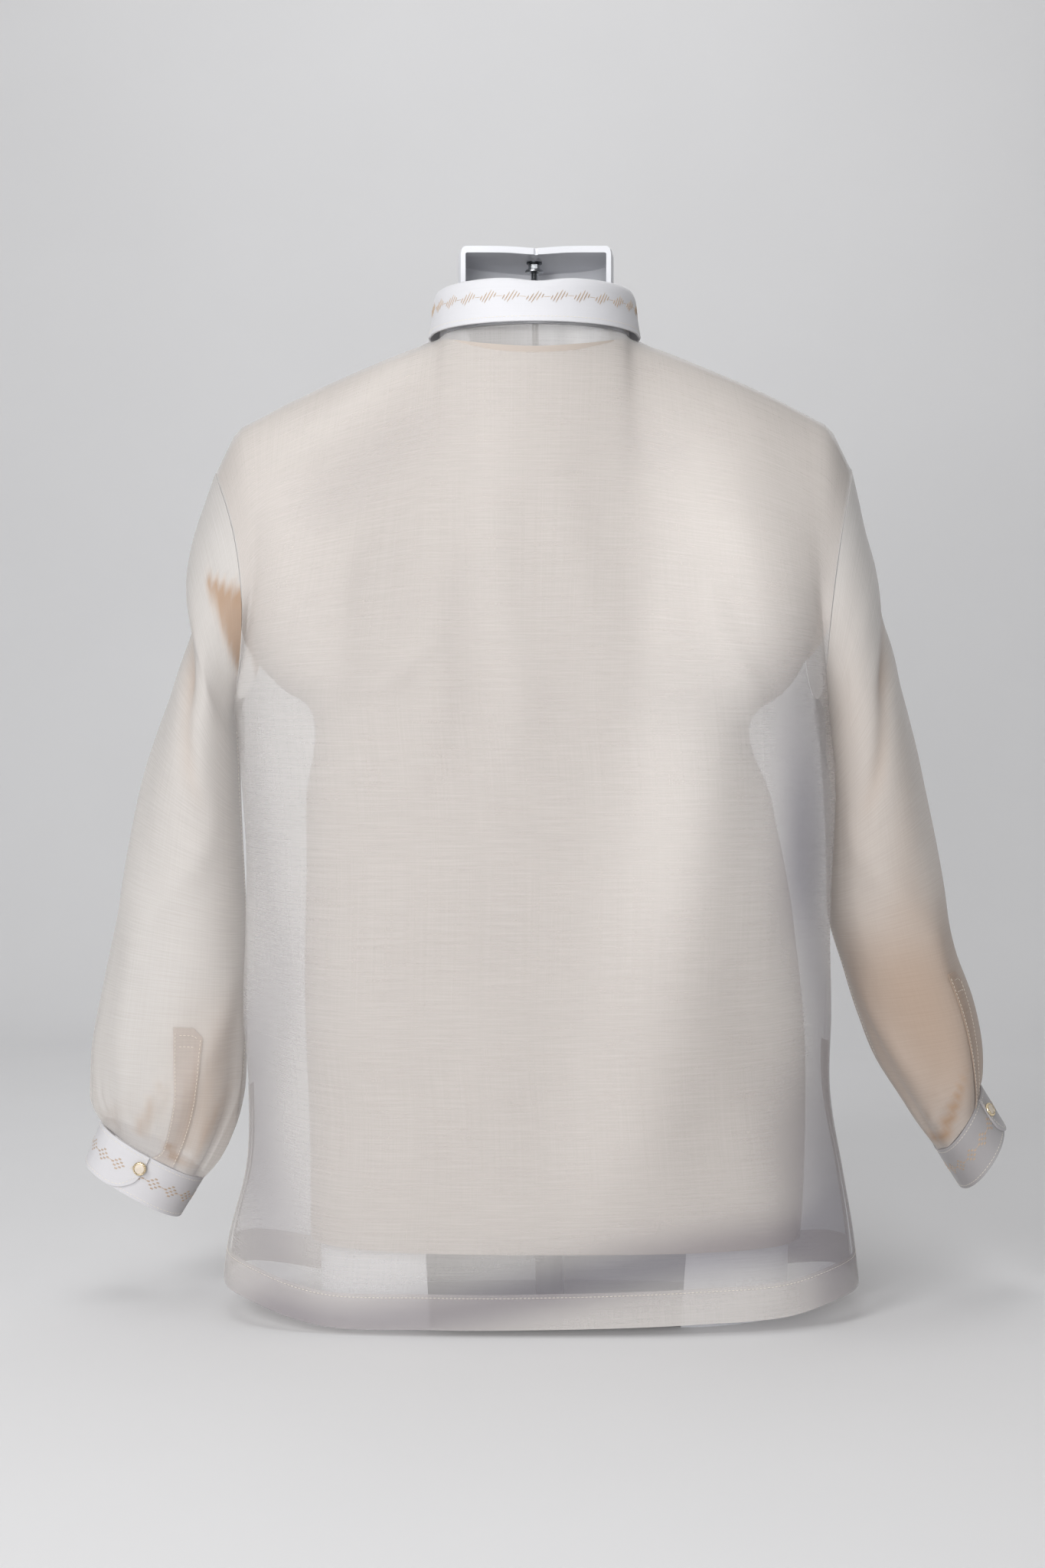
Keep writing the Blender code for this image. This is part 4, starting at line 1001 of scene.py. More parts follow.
SLEEVE_SPACING = 0.006
LEFT_SLEEVE = (
    # outer x, outer z, inner x, inner z, half depth, middle y, bow, pleats
    ARMHOLES["left"],
    (-0.2620, 0.6200, -0.2385, 0.4640, 0.086, 0.001, 0.0120, 0.0000),
    (-0.2700, 0.5950, -0.2395, 0.4560, 0.086, 0.003, 0.0050, 0.0000),
    (-0.2745, 0.5650, -0.2400, 0.4460, 0.085, 0.005, 0.0000, 0.0000),
    (-0.2720, 0.5370, -0.2395, 0.4330, 0.084, 0.008, 0.0000, 0.0000),
    (-0.2875, 0.4780, -0.2390, 0.4020, 0.081, 0.013, 0.0000, 0.0000),
    (-0.3120, 0.4000, -0.2370, 0.3550, 0.075, 0.019, 0.0000, 0.0000),
    (-0.3250, 0.3440, -0.2350, 0.3120, 0.069, 0.023, 0.0000, 0.0000),
    (-0.3360, 0.2950, -0.2345, 0.2740, 0.064, 0.026, 0.0000, 0.0003),
    (-0.3470, 0.2440, -0.2350, 0.2320, 0.060, 0.028, 0.0000, 0.0006),
    (-0.3550, 0.2000, -0.2355, 0.1930, 0.056, 0.029, 0.0000, 0.0012),
    (-0.3555, 0.1720, -0.2390, 0.1560, 0.051, 0.030, 0.0000, 0.0022),
    (-0.3540, 0.1540, -0.2480, 0.1290, 0.043, 0.030, 0.0000, 0.0032),
    (-0.3500, 0.1450, -0.2590, 0.1075, 0.035, 0.030, 0.0000, 0.0030),
    (-0.3480, 0.1400, -0.2680, 0.0950, 0.030, 0.030, 0.0000, 0.0012),
)
RIGHT_SLEEVE = (
    # outer x, outer z, inner x, inner z, half depth, middle y, bow, pleats
    ARMHOLES["right"],
    (0.2420, 0.6260, 0.2155, 0.4640, 0.086, 0.001, -0.0060, 0.0000),
    (0.2470, 0.6020, 0.2165, 0.4560, 0.086, 0.003, -0.0020, 0.0000),
    (0.2540, 0.5780, 0.2175, 0.4460, 0.085, 0.005, 0.0000, 0.0000),
    (0.2595, 0.5530, 0.2185, 0.4330, 0.084, 0.008, 0.0000, 0.0000),
    (0.2715, 0.5050, 0.2205, 0.4080, 0.082, 0.013, 0.0000, 0.0000),
    (0.2815, 0.4600, 0.2225, 0.3800, 0.079, 0.017, 0.0000, 0.0000),
    (0.2970, 0.3920, 0.2240, 0.3400, 0.074, 0.021, 0.0000, 0.0000),
    (0.3110, 0.3300, 0.2255, 0.2980, 0.069, 0.024, 0.0000, 0.0002),
    (0.3225, 0.2780, 0.2370, 0.2600, 0.065, 0.026, 0.0000, 0.0005),
    (0.3380, 0.2350, 0.2500, 0.2200, 0.061, 0.027, 0.0000, 0.0010),
    (0.3440, 0.2030, 0.2660, 0.1830, 0.057, 0.028, 0.0000, 0.0018),
    (0.3440, 0.1840, 0.2840, 0.1560, 0.053, 0.028, 0.0000, 0.0026),
    (0.3425, 0.1740, 0.2990, 0.1330, 0.048, 0.028, 0.0000, 0.0026),
    (0.3405, 0.1690, 0.3095, 0.1180, 0.044, 0.028, 0.0000, 0.0010),
)
SLEEVE_FOLDS = (
    # metres across from the outer line and down from the armhole, lean, length, width, rise
    (0.050, 0.100, 74, 0.060, 0.012, -0.0040),
    (0.085, 0.130, 40, 0.090, 0.012, -0.0030),
    (0.030, 0.220, 20, 0.140, 0.014, 0.0030),
    (0.110, 0.240, -24, 0.120, 0.012, 0.0026),
    (0.070, 0.340, 12, 0.140, 0.014, 0.0030),
    (0.140, 0.380, -18, 0.110, 0.012, 0.0028),
    (0.300, 0.120, -30, 0.100, 0.014, 0.0026),
    (0.280, 0.260, 14, 0.140, 0.014, 0.0026),
    (0.340, 0.330, -16, 0.120, 0.012, 0.0024),
)
# painted shade on the sleeves: darker, warmer inner and lower parts
SLEEVE_BASE_PAINTED_SHADE = 0.07
SLEEVE_PAINTED_SHADES = (
    # x, z, lean in degrees from upright, length, width, amount
    (-0.262, 0.330, 10, 0.360, 0.034, 0.06),
    (-0.262, 0.180, 12, 0.100, 0.030, 0.14),
    (0.225, 0.500, 6, 0.110, 0.016, 0.10),
    (0.265, 0.320, -12, 0.280, 0.070, 0.26),
    (0.295, 0.210, -16, 0.150, 0.070, 0.50),
)
# painted fold shadows, as soft-edged triangles
SLEEVE_PAINTED_FOLD_SHADOWS = (
    # three corners of x and z, turning left; softness of the edges; amount
    ((-0.252, 0.560), (-0.228, 0.480), (-0.216, 0.544), 0.006, 0.85),
    ((-0.254, 0.562), (-0.244, 0.535), (-0.216, 0.546), 0.004, 0.25),
    ((-0.246, 0.230), (-0.290, 0.112), (-0.256, 0.130), 0.020, 0.28),
    ((-0.292, 0.180), (-0.318, 0.136), (-0.308, 0.130), 0.006, 0.45),
    ((-0.296, 0.128), (-0.290, 0.112), (-0.270, 0.104), 0.006, 0.55),
    ((-0.240, 0.180), (-0.276, 0.110), (-0.270, 0.106), 0.006, 0.30),
    ((-0.330, 0.160), (-0.345, 0.142), (-0.326, 0.132), 0.010, 0.20),
    ((0.322, 0.180), (0.302, 0.126), (0.312, 0.124), 0.006, 0.60),
    ((0.270, 0.480), (0.262, 0.300), (0.292, 0.300), 0.020, 0.10),
)


def sleeve_cloth(sleeve, side):
    turns = SEAM_TURNS + [-turn for turn in reversed(SEAM_TURNS[1:-1])]
    grid = np.array([[ring_point(row, turn) for turn in turns] for row in sleeve])
    grid[0] = grid[0] + np.array((side * 2 * SEAM, 0, 0))
    cloth = Cloth(grid, SLEEVE_SPACING, -side, closed=True)
    across, down = np.meshgrid(cloth.across, cloth.down)
    share = soft_step(np.minimum(cloth.down, cloth.down[-1] - cloth.down) / EDGE_EASE)
    ease = np.repeat(share[:, None], len(cloth.across), axis=1)
    folded(cloth, np.stack([across, down], axis=-1), SLEEVE_FOLDS, ease)
    # painted shade and painted fold shadows in the sleeve's colour
    painted_light_and_shade(cloth, SLEEVE_BASE_PAINTED_SHADE, SLEEVE_PAINTED_SHADES)
    painted_wedge_shadows(cloth, SLEEVE_PAINTED_FOLD_SHADOWS)
    cloth.points[:, -1] = cloth.points[:, 0]
    cloth.settle()
    return cloth


left_sleeve = sleeve_cloth(LEFT_SLEEVE, -1)
right_sleeve = sleeve_cloth(RIGHT_SLEEVE, 1)
# sleeve cloth: warm painted shade, and closer cloth where the shade is high
warm_sheer = woven("sheer sleeve cloth", SHEER_WHITE, SHEER_COVER, doubled=DOUBLED_COVER)
sleeve_left = sheer_piece(left_sleeve, "sheer_sleeve_left", "sleeve_left", warm_sheer)
sleeve_right = sheer_piece(right_sleeve, "sheer_sleeve_right", "sleeve_right", warm_sheer)

# Hem bands and vent facings: the panels' own cloth, folded inside and topstitched. The
# bands lie behind the lower edge, the facings behind the side edges below the seams.

HEM_ROW = SEAM_STEPS + BODY_STEPS
FACING_TOP = {"left": SEAM_STEPS + 5, "right": SEAM_STEPS + 4.4}
FACING_WIDTH = 0.016
FRONT_HEM_GAP = 0.0003
STRIP_SKIN = 0.0003
STRIP_INSIDE = -SHEER_SKIN - 0.0003
STRIP_SPACING = 0.006
# painted shade: the share of the cloth's painted shade that its strips keep
PAINTED_SHADE_KEPT = 0.2
BAND_WHITE = (0.80, 0.76, 0.73)
BAND_COVER = 0.45


def steps(start, end, spacing=STRIP_SPACING):
    return np.linspace(start, end, max(2, round(abs(end - start) / spacing) + 1))


def strip_piece(name, node, cloth, flat, lift, thickness, material, added_painted_shade=0, kept=PAINTED_SHADE_KEPT):
    """A strip on a cloth, at a grid of its flat coordinates, lifted off it, with painted shade."""
    across, down = flat
    way = slice(None, None, cloth.facing)
    points, normals = cloth.at(across[:, way], down[:, way], lift)
    uvs = np.stack([across, -down], axis=-1)[:, way]
    shade = np.clip(added_painted_shade + cloth.tone(across, down)[:, way] * kept, 0, 1)
    made = shell(name, points, points - normals * thickness, material, uvs, shade=shade)
    placed(made, node)


band_cloth = woven("folded leaf-fibre cloth", BAND_WHITE, BAND_COVER)
for name, cloth, first, last in (
    ("back", back_cloth, 0, back_cloth.across[-1]),
    ("front_left", left_cloth, 0, left_cloth.across[-1] - FRONT_HEM_GAP),
    ("front_right", right_cloth, FRONT_HEM_GAP, right_cloth.across[-1]),
):
    flat = np.meshgrid(steps(first, last), steps(cloth.row(HEM_ROW), cloth.down[-1]))
    strip_piece(
        f"hem_band_{name}", f"hem_{name}", cloth, flat, STRIP_INSIDE, STRIP_SKIN, band_cloth
    )
for name, cloth, side_name in (
    ("back_left", back_cloth, "left"),
    ("back_right", back_cloth, "right"),
    ("front_left", left_cloth, "left"),
    ("front_right", right_cloth, "right"),
):
    edge = 0 if side_name == "left" else cloth.across[-1] - FACING_WIDTH
    columns = steps(edge, edge + FACING_WIDTH, FACING_WIDTH / 3)
    rows = steps(cloth.row(FACING_TOP[side_name]), cloth.row(HEM_ROW) - SEAM)
    strip_piece(
        f"vent_strip_{name}", f"vent_facing_{name}", cloth, np.meshgrid(columns, rows),
        STRIP_INSIDE, STRIP_SKIN, band_cloth,
    )

# Plackets: folded strips, sewn down at both edges. The front one covers both fronts'
# middle edges. The sleeve ones have a cut corner at the top and a foot on the cuff.

FRONT_PLACKET = 0.030
FRONT_PLACKET_TOP = 0.1
FRONT_PLACKET_LIFT = 0.0009
PLACKET_SKIN = 0.0008
PLACKET_SPACING = 0.003
PLACKET_COLUMNS = 7
SLEEVE_PLACKET = 0.0085
SLEEVE_PLACKET_LIFT = 0.0016
SLEEVE_PLACKETS = {
    # side: middle column, top row, cut corner's side, flare of the top, flare of the foot
    "left": (8.5, 9.4, 1, 0.003, 0.007),
    "right": (4.0, 9.3, -1, 0.002, 0.004),
}
CUT_CORNER = 0.008
CORNER_START = 0.35
CORNER_FALL = 0.02
FLARE_FALL = 0.05
FOOT = 0.010
CUFF_GAP = 0.0005
# painted shade added to the sleeve plackets
PLACKET_PAINTED_SHADE = 0.02
TIGHT_COVER = 0.60
# the placket's white is set darker than the sheer cloth's, partly painted shade
PLACKET_SHADED_WHITE = (0.72, 0.67, 0.64)

placket_cloth = woven("placket cloth", PLACKET_SHADED_WHITE, TIGHT_COVER)
front_cloth = Cloth(front_grid, PANEL_SPACING, -1)
middle = front_cloth.column(MIDDLE)
across, down = np.meshgrid(
    steps(middle - FRONT_PLACKET / 2, middle + FRONT_PLACKET / 2, PLACKET_SPACING),
    steps(front_cloth.row(FRONT_PLACKET_TOP), front_cloth.down[-1]),
)
strip_piece(
    "front_placket_strip", "front_placket", front_cloth, (across, down),
    FRONT_PLACKET_LIFT + PLACKET_SKIN, PLACKET_SKIN, placket_cloth,
)


def sleeve_placket(side_name, cloth):
    """Makes a sleeve's placket and gives its grid of flat coordinates."""
    column, top_row, cut_side, flare, foot = SLEEVE_PLACKETS[side_name]
    rows = steps(cloth.row(top_row), cloth.down[-1] - CUFF_GAP, PLACKET_SPACING)
    shares = np.linspace(-1, 1, PLACKET_COLUMNS)
    across = np.zeros((len(rows), len(shares)))
    down = np.zeros_like(across)
    for i, row in enumerate(rows):
        below = row - rows[0]
        above = rows[-1] - row
        spread = SLEEVE_PLACKET + flare * max(0, 1 - below / FLARE_FALL)
        turned_foot = foot * max(0, 1 - above / FOOT) ** 2
        for k, share in enumerate(shares):
            side_share = share * cut_side
            reach = spread * side_share - turned_foot * max(0, -side_share)
            across[i, k] = cloth.column(column) + reach * cut_side
            drop = CUT_CORNER * max(0, side_share - CORNER_START) / (1 - CORNER_START)
            down[i, k] = row + drop * max(0, 1 - below / CORNER_FALL)
    strip_piece(
        f"sleeve_placket_strip_{side_name}", f"sleeve_placket_{side_name}", cloth,
        (across, down), SLEEVE_PLACKET_LIFT, PLACKET_SKIN, placket_cloth, PLACKET_PAINTED_SHADE, 1,
    )
    return across, down


left_placket = sleeve_placket("left", left_sleeve)
right_placket = sleeve_placket("right", right_sleeve)

# Cuffs: stiffened bands of two layers, which lap over themselves and button. The lap's
# lower corner is rounded off, and the band's edges are topstitched.

STIFF = 0.0018
CUFF_HEIGHT = 0.034
CUFF_COLUMNS = 24
CUFF_ROWS = 4
CUFF_LIFT = 0.0008
CUFF_CORNER = 0.020
CORNER_SHARES = (0, 0.06, 0.2, 0.4, 0.7, 1)
CUFF_SPACING = 0.0025
OVERLAP_ANGLE = math.radians(42)
OVERLAP_EASE = 0.6
OVERLAP_MARGIN = 0.1
CUFFS = {
    # side: low outer x and z, low inner x and z, half depth, middle y, the lap's end
    "left": (-0.3610, 0.1070, -0.2870, 0.0640, 0.028, 0.030, math.radians(93)),
    "right": (0.3610, 0.1350, 0.3290, 0.0875, 0.041, 0.028, math.radians(48)),
}
# the cuff's white is set darker than the collar's same cloth, as painted shade
CUFF_SHADED_WHITE = (0.68, 0.67, 0.69)
# painted shade tone for the cuffs
CUFF_PAINTED_SHADE = (0.26, 0.24, 0.24)
SOFT_EDGE = 0.0005
SOFT_ANGLE = math.radians(55)
# painted shade on the cuffs: the left cuff's under layer and the right cuff
CUFF_PAINTED_SHADES = (
    # x, z, lean in degrees from upright, length, width, amount
    (-0.264, 0.094, 40, 0.080, 0.026, 0.50),
    (0.330, 0.110, 0, 0.120, 0.050, 0.75),
)


def cuff_cloth(side, upper, lower, end_turn):
    """A band round the sleeve's end, whose last stretch laps over its first."""
    outer_x, outer_z, inner_x, inner_z, half_depth, *_ = upper
    high_row, low_row = (*upper[:6], 0, 0), (*lower, 0, 0)
    radius = (math.dist((outer_x, outer_z), (inner_x, inner_z)) / 2 + half_depth) / 2
    length = (2 * math.pi + OVERLAP_ANGLE) * radius
    to_end = [CUFF_CORNER * share for share in CORNER_SHARES]
    plain = np.linspace(CUFF_CORNER, length, CUFF_COLUMNS)[1:]
    columns, lifts = [], []
    for distance in [*reversed(plain), *reversed(to_end)]:
        turn = end_turn + 2 * math.pi - distance / radius
        high = ring_point(high_row, turn, pleated=False)
        low = ring_point(low_row, turn, pleated=False)
        lap_start = end_turn + 2 * math.pi - OVERLAP_ANGLE - OVERLAP_EASE - OVERLAP_MARGIN
        lifts.append(CUFF_LIFT + (STIFF + SEAM) * soft_step((turn - lap_start) / OVERLAP_EASE))
        short = max(0, CUFF_CORNER - distance)
        corner = (CUFF_CORNER - math.sqrt(CUFF_CORNER**2 - short**2)) / CUFF_HEIGHT
        run = low - high
        start = SEAM * 2 / np.linalg.norm(run)
        shares = start + (1 - start - corner) * np.linspace(0, 1, CUFF_ROWS)
        columns.append([high + run * share for share in shares])
    points = np.array(columns).transpose(1, 0, 2)
    lifted = points + normals_of(points) * -side * np.array(lifts)[None, :, None]
    return Cloth(lifted, CUFF_SPACING, -side)


def softened(made):
    """Rounds a stiff piece's edges a little."""
    bevel = made.modifiers.new("soft edges", "BEVEL")
    bevel.width = SOFT_EDGE
    bevel.segments = 2
    bevel.limit_method = "ANGLE"
    bevel.angle_limit = SOFT_ANGLE
    return made


stiff_cuff = woven("stiffened cuff cloth", CUFF_SHADED_WHITE, 1, 0.7, 0.2, 0.03, CUFF_PAINTED_SHADE)
cuffs = {}
for side_name, side, sleeve in (("left", -1, LEFT_SLEEVE), ("right", 1, RIGHT_SLEEVE)):
    *lower, lap_end = CUFFS[side_name]
    cuffs[side_name] = cuff_cloth(side, sleeve[-1], lower, lap_end)
    # painted shade on the cuff's colour
    painted_light_and_shade(cuffs[side_name], 0, CUFF_PAINTED_SHADES)
    made = softened(cuffs[side_name].piece(f"cuff_band_{side_name}", STIFF, stiff_cuff))
    placed(made, f"cuff_{side_name}")

# Collar: a stand sewn to the neck seam and a fall turned over it, both stiffened. Its
# fold dips at the middle of the back, and its points lie on the fronts.

STAND_HEIGHT = 0.030
STAND_LEAN = 0.0035
FOLD_RISE = 0.0015
FOLD_RADIUS = 0.0037
FALL_DROP = 0.0310
FALL_SPREAD = 0.0045
POINT_DROP = 0.0160
POINT_SPREAD = 0.0200
SIDE_LIFT = 0.0120
COLLAR_STEP = math.radians(12)
COLLAR_FRONT_GAP = math.radians(4)
STAND_ROWS = 3
FOLD_STEPS = 3
FALL_ROWS = 2
COLLAR_SPACING = 0.0025
COLLAR_DIP = (-0.0052, 0.018, 0.0038)
COLLAR_WHITE = (0.74, 0.74, 0.77)


def neck_chord(turn):
    """The neck seam as the panels have it, straight between their columns."""
    step = math.floor(turn / NECK_STEP + 1e-6)
    share = turn / NECK_STEP - step
    start, end = neck_point(step * NECK_STEP), neck_point((step + 1) * NECK_STEP)
    return start * (1 - share) + end * share


def neck_outward(turn):
    return unit(np.array((-math.cos(turn) / NECK_A, -math.sin(turn) / NECK_B, 0)))


def stand_point(turn, share):
    """The stand's outer face, from the neck seam at 0 to its top at 1."""
    foot = neck_chord(turn) * (1 - share) + neck_point(turn) * share
    rise = np.array((0, 0, 2 * SEAM + STAND_HEIGHT * share))
    return foot - neck_outward(turn) * STAND_LEAN * share + rise


def fall_profile(turn):
    """The fall's visible face, as reach and height from the stand's top edge."""
    centre = FOLD_RADIUS - STIFF
    past_side = abs(turn - math.pi / 2) - math.pi / 2
    share = np.clip(past_side / (math.pi / 2 - COLLAR_FRONT_GAP), 0, 1)
    drop = FALL_DROP - SIDE_LIFT * math.sin(math.pi * share) + POINT_DROP * share**3
    spread = FALL_SPREAD + POINT_SPREAD * share
    profile = [(-STIFF, SEAM)]
    for k in range(FOLD_STEPS + 1):
        angle = math.pi * k / FOLD_STEPS
        height = FOLD_RISE + FOLD_RADIUS * math.sin(angle)
        profile.append((centre - FOLD_RADIUS * math.cos(angle), height))
    for k in range(1, FALL_ROWS + 1):
        down = k / FALL_ROWS
        profile.append((centre + FOLD_RADIUS + spread * down, FOLD_RISE - drop * down))
    return profile


def dipped(cloth, shares):
    """Lets the collar's fold dip at the middle of the back, by each row's share."""
    middle, width, depth = COLLAR_DIP
    dip = depth * np.exp(-(((cloth.points[..., 0] - middle) / width) ** 2))
    cloth.points[..., 2] -= dip * (cloth.points[..., 1] < 0) * shares[:, None]
    cloth.settle()


first_turn = -math.pi / 2 + COLLAR_FRONT_GAP
side_steps = math.floor((math.pi / 2 - first_turn) / COLLAR_STEP)
middle_turns = [math.pi / 2 + COLLAR_STEP * k for k in range(-side_steps, side_steps + 1)]
collar_turns = [first_turn, *middle_turns, math.pi - first_turn]
stand_shares = np.linspace(1, 0, STAND_ROWS)
stand_grid = [[stand_point(turn, share) for turn in collar_turns] for share in stand_shares]
fall_grid = []
for turn in collar_turns:
    corner, outward, rise = stand_point(turn, 1), neck_outward(turn), np.array((0, 0, 1))
    fall_grid.append(
        [corner + outward * reach + rise * height for reach, height in fall_profile(turn)]
    )
stand_cloth = Cloth(np.array(stand_grid), COLLAR_SPACING, 1)
fall_cloth = Cloth(np.array(fall_grid).transpose(1, 0, 2), COLLAR_SPACING, 1)
for cloth in (stand_cloth, fall_cloth):
    dipped(cloth, np.clip(1 - cloth.down / cloth.down[-1], 0, 1))
stiff_collar = woven("stiffened collar cloth", COLLAR_WHITE, 1, 0.7, 0.2, 0.02)
for name, cloth, node in (
    ("collar_band", stand_cloth, "collar_stand"),
    ("collar_turn_down", fall_cloth, "collar_fall"),
):
    placed(softened(cloth.piece(name, STIFF, stiff_collar)), node)

# Sewing and embroidery: cream topstitching along every folded edge, and a border of
# small satin-stitch diamonds in pale gold thread round the collar and both cuffs.

STITCH_LONG = 0.0023
STITCH_WIDE = 0.00042
STITCH_HIGH = 0.00032
STITCH_PITCH = 0.0030
STITCH_LIFT = 0.00005
STITCH_CREAM = (0.86, 0.80, 0.70)
GOLD_THREAD = (0.60, 0.46, 0.34)
STRAND_HIGH = 0.00052
STRAND_WIDE = 0.00042
STRAND_JOG = 0.05
LINK_WIDE = 0.00045
LINK_HIGH = 0.00030
LINK_OVERLAP = 0.0004
SLANTED = (
    # the collar's diamond: across, down, half run across, half rise, of each bar
    (-0.0054, 0.0008, 0.0010, 0.0018),
    (-0.0027, 0.0004, 0.0020, 0.0036),
    (0.0000, 0.0000, 0.0029, 0.0052),
    (0.0027, -0.0004, 0.0020, 0.0036),
    (0.0054, -0.0008, 0.0010, 0.0018),
)
CHECK_STEP = (0.0024, 0.0019)
CHECK_BAR = (0.0014, 0.0002)
CHECKED = [
    # the cuffs' diamond: short level bars in three rows of three, turned on a corner
    ((i + j) * CHECK_STEP[0], (i - j) * CHECK_STEP[1], *CHECK_BAR)
    for i in (-1, 0, 1)
    for j in (-1, 0, 1)
]
COLLAR_PITCH = 0.0173
CUFF_PITCH = 0.0150


def strand_tree():
    """Lays one rounded strand of thread on each point, by its run, out and size."""
    tree = bpy.data.node_groups.new("strands of thread", "GeometryNodeTree")
    face = tree.interface
    face.new_socket("Geometry", in_out="INPUT", socket_type="NodeSocketGeometry")
    face.new_socket("Sides", in_out="INPUT", socket_type="NodeSocketInt").default_value = 6
    face.new_socket("Bands", in_out="INPUT", socket_type="NodeSocketInt").default_value = 4
    face.new_socket("Thread", in_out="INPUT", socket_type="NodeSocketMaterial")
    face.new_socket("Geometry", in_out="OUTPUT", socket_type="NodeSocketGeometry")
    nodes, links = tree.nodes, tree.links
    start, end = nodes.new("NodeGroupInput"), nodes.new("NodeGroupOutput")
    strand = nodes.new("GeometryNodeMeshUVSphere")
    strand.inputs["Radius"].default_value = 0.5
    links.new(start.outputs["Sides"], strand.inputs["Segments"])
    links.new(start.outputs["Bands"], strand.inputs["Rings"])
    given = {}
    for word in ("run", "out", "size"):
        given[word] = nodes.new("GeometryNodeInputNamedAttribute")
        given[word].data_type = "FLOAT_VECTOR"
        given[word].inputs["Name"].default_value = word
    along = nodes.new("FunctionNodeAlignRotationToVector")
    along.axis = "Z"
    upright = nodes.new("FunctionNodeAlignRotationToVector")
    upright.axis = "X"
    upright.pivot_axis = "Z"
    links.new(given["run"].outputs["Attribute"], along.inputs["Vector"])
    links.new(along.outputs["Rotation"], upright.inputs["Rotation"])
    links.new(given["out"].outputs["Attribute"], upright.inputs["Vector"])
    laid = nodes.new("GeometryNodeInstanceOnPoints")
    links.new(start.outputs["Geometry"], laid.inputs["Points"])
    links.new(strand.outputs["Mesh"], laid.inputs["Instance"])
    links.new(upright.outputs["Rotation"], laid.inputs["Rotation"])
    links.new(given["size"].outputs["Attribute"], laid.inputs["Scale"])
    real = nodes.new("GeometryNodeRealizeInstances")
    finish = nodes.new("GeometryNodeSetMaterial")
    links.new(laid.outputs["Instances"], real.inputs["Geometry"])
    links.new(real.outputs["Geometry"], finish.inputs["Geometry"])
    links.new(start.outputs["Thread"], finish.inputs["Material"])
    links.new(finish.outputs["Geometry"], end.inputs["Geometry"])
    return tree


strands = strand_tree()


def threads(name, marks, material, slot, sides=6, bands=4):
    """One mesh of rounded strands, from marks: middles, runs, outs, (high, wide, long)."""
    points, runs, outs, sizes = (np.concatenate(column) for column in zip(*marks))
    mesh = bpy.data.meshes.new(name)
    mesh.from_pydata([tuple(p) for p in points - PART_MIDDLE], [], [])
    for word, values in (("run", runs), ("out", outs), ("size", sizes)):
        attribute = mesh.attributes.new(word, "FLOAT_VECTOR", "POINT")
        attribute.data.foreach_set("vector", np.ascontiguousarray(values, float).ravel())
    seeds = bpy.data.objects.new(name, mesh)
    bpy.context.scene.collection.objects.link(seeds)
    layer = seeds.modifiers.new("strands", "NODES")
    layer.node_group = strands
    sockets = [item for item in strands.interface.items_tree if item.in_out == "INPUT"]
    named = {item.name: item.identifier for item in sockets}
    layer[named["Sides"]] = sides
    layer[named["Bands"]] = bands
    layer[named["Thread"]] = material
    ready = seeds.evaluated_get(bpy.context.evaluated_depsgraph_get())
    plain = bpy.data.meshes.new_from_object(ready)
    bpy.data.objects.remove(seeds)
    for word in ("run", "out", "size"):
        if word in plain.attributes:
            plain.attributes.remove(plain.attributes[word])
    plain.shade_smooth()
    made = bpy.data.objects.new(name, plain)
    bpy.context.scene.collection.objects.link(made)
    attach(made, "root")
    return made


def marks_between(cloth, low, high, lift, height, width):
    """Strands from low to high, two lists of flat coordinates on a cloth."""
    low, high = np.array(low, float), np.array(high, float)
    starts, _ = cloth.at(low[:, 0], low[:, 1], lift)
    ends, _ = cloth.at(high[:, 0], high[:, 1], lift)
    middle = (low + high) / 2
    _, outs = cloth.at(middle[:, 0], middle[:, 1], lift)
    long = np.linalg.norm(ends - starts, axis=1)
    sizes = np.column_stack([np.full(len(long), height), np.full(len(long), width), long])
    return (starts + ends) / 2, unit(ends - starts), outs, sizes


def stitched(cloth, route, lift=STITCH_LIFT):
    """A row of stitches along a route of flat coordinates on a cloth."""
    route = np.array(route, float)
    fine = [route[0]]
    for start, end in zip(route[:-1], route[1:]):
        count = max(1, math.ceil(np.linalg.norm(end - start) / STITCH_PITCH))
        fine += [start + (end - start) * (k + 1) / count for k in range(count)]
    fine = np.array(fine)
    places, _ = cloth.at(fine[:, 0], fine[:, 1])
    run = np.concatenate([[0], np.cumsum(np.linalg.norm(np.diff(places, axis=0), axis=1))])
    starts = np.arange(STITCH_PITCH / 4, run[-1] - STITCH_LONG, STITCH_PITCH)
    ends = [
        np.column_stack([np.interp(starts + reach, run, fine[:, k]) for k in range(2)])
        for reach in (0, STITCH_LONG)
    ]
    return marks_between(cloth, *ends, lift, STITCH_HIGH, STITCH_WIDE)


def bordered(cloth, start, end, pitch, down, bars, strands):
    """A border of diamonds made of separate bars, joined by fine links, across a cloth."""
    count = int((end - start) / pitch)
    first = (start + end - (count - 1) * pitch) / 2
    low, high = [], []
    for k in range(count):
        middle = np.array((first + k * pitch, down))
        for across, below, run, rise in bars:
            centre, half = middle + (across, below), np.array((run, -rise))
            aside = unit(np.array((rise, run))) * STRAND_WIDE
            for s in range(strands):
                jog = aside * (s - (strands - 1) / 2) + half * STRAND_JOG * (-1) ** s
                low.append(centre - half + jog)
                high.append(centre + half + jog)
    marks = [marks_between(cloth, low, high, STITCH_LIFT, STRAND_HIGH, STRAND_WIDE)]
    reach = max(across + run for across, _, run, _ in bars) - LINK_OVERLAP
    low = [(first + k * pitch + reach, down) for k in range(count - 1)]
    high = [(first + (k + 1) * pitch - reach, down) for k in range(count - 1)]
    return [*marks, marks_between(cloth, low, high, STITCH_LIFT, LINK_HIGH, LINK_WIDE)]


cream_parts = new_material("cream sewing thread", STITCH_CREAM, 0.55, sheen=0.2)
stitch_thread = mottled(cream_parts, 900, 0.06)
gold_thread = mottled(new_material("pale gold thread", GOLD_THREAD, 0.42, 0.25, 0.2), 900, 0.12)

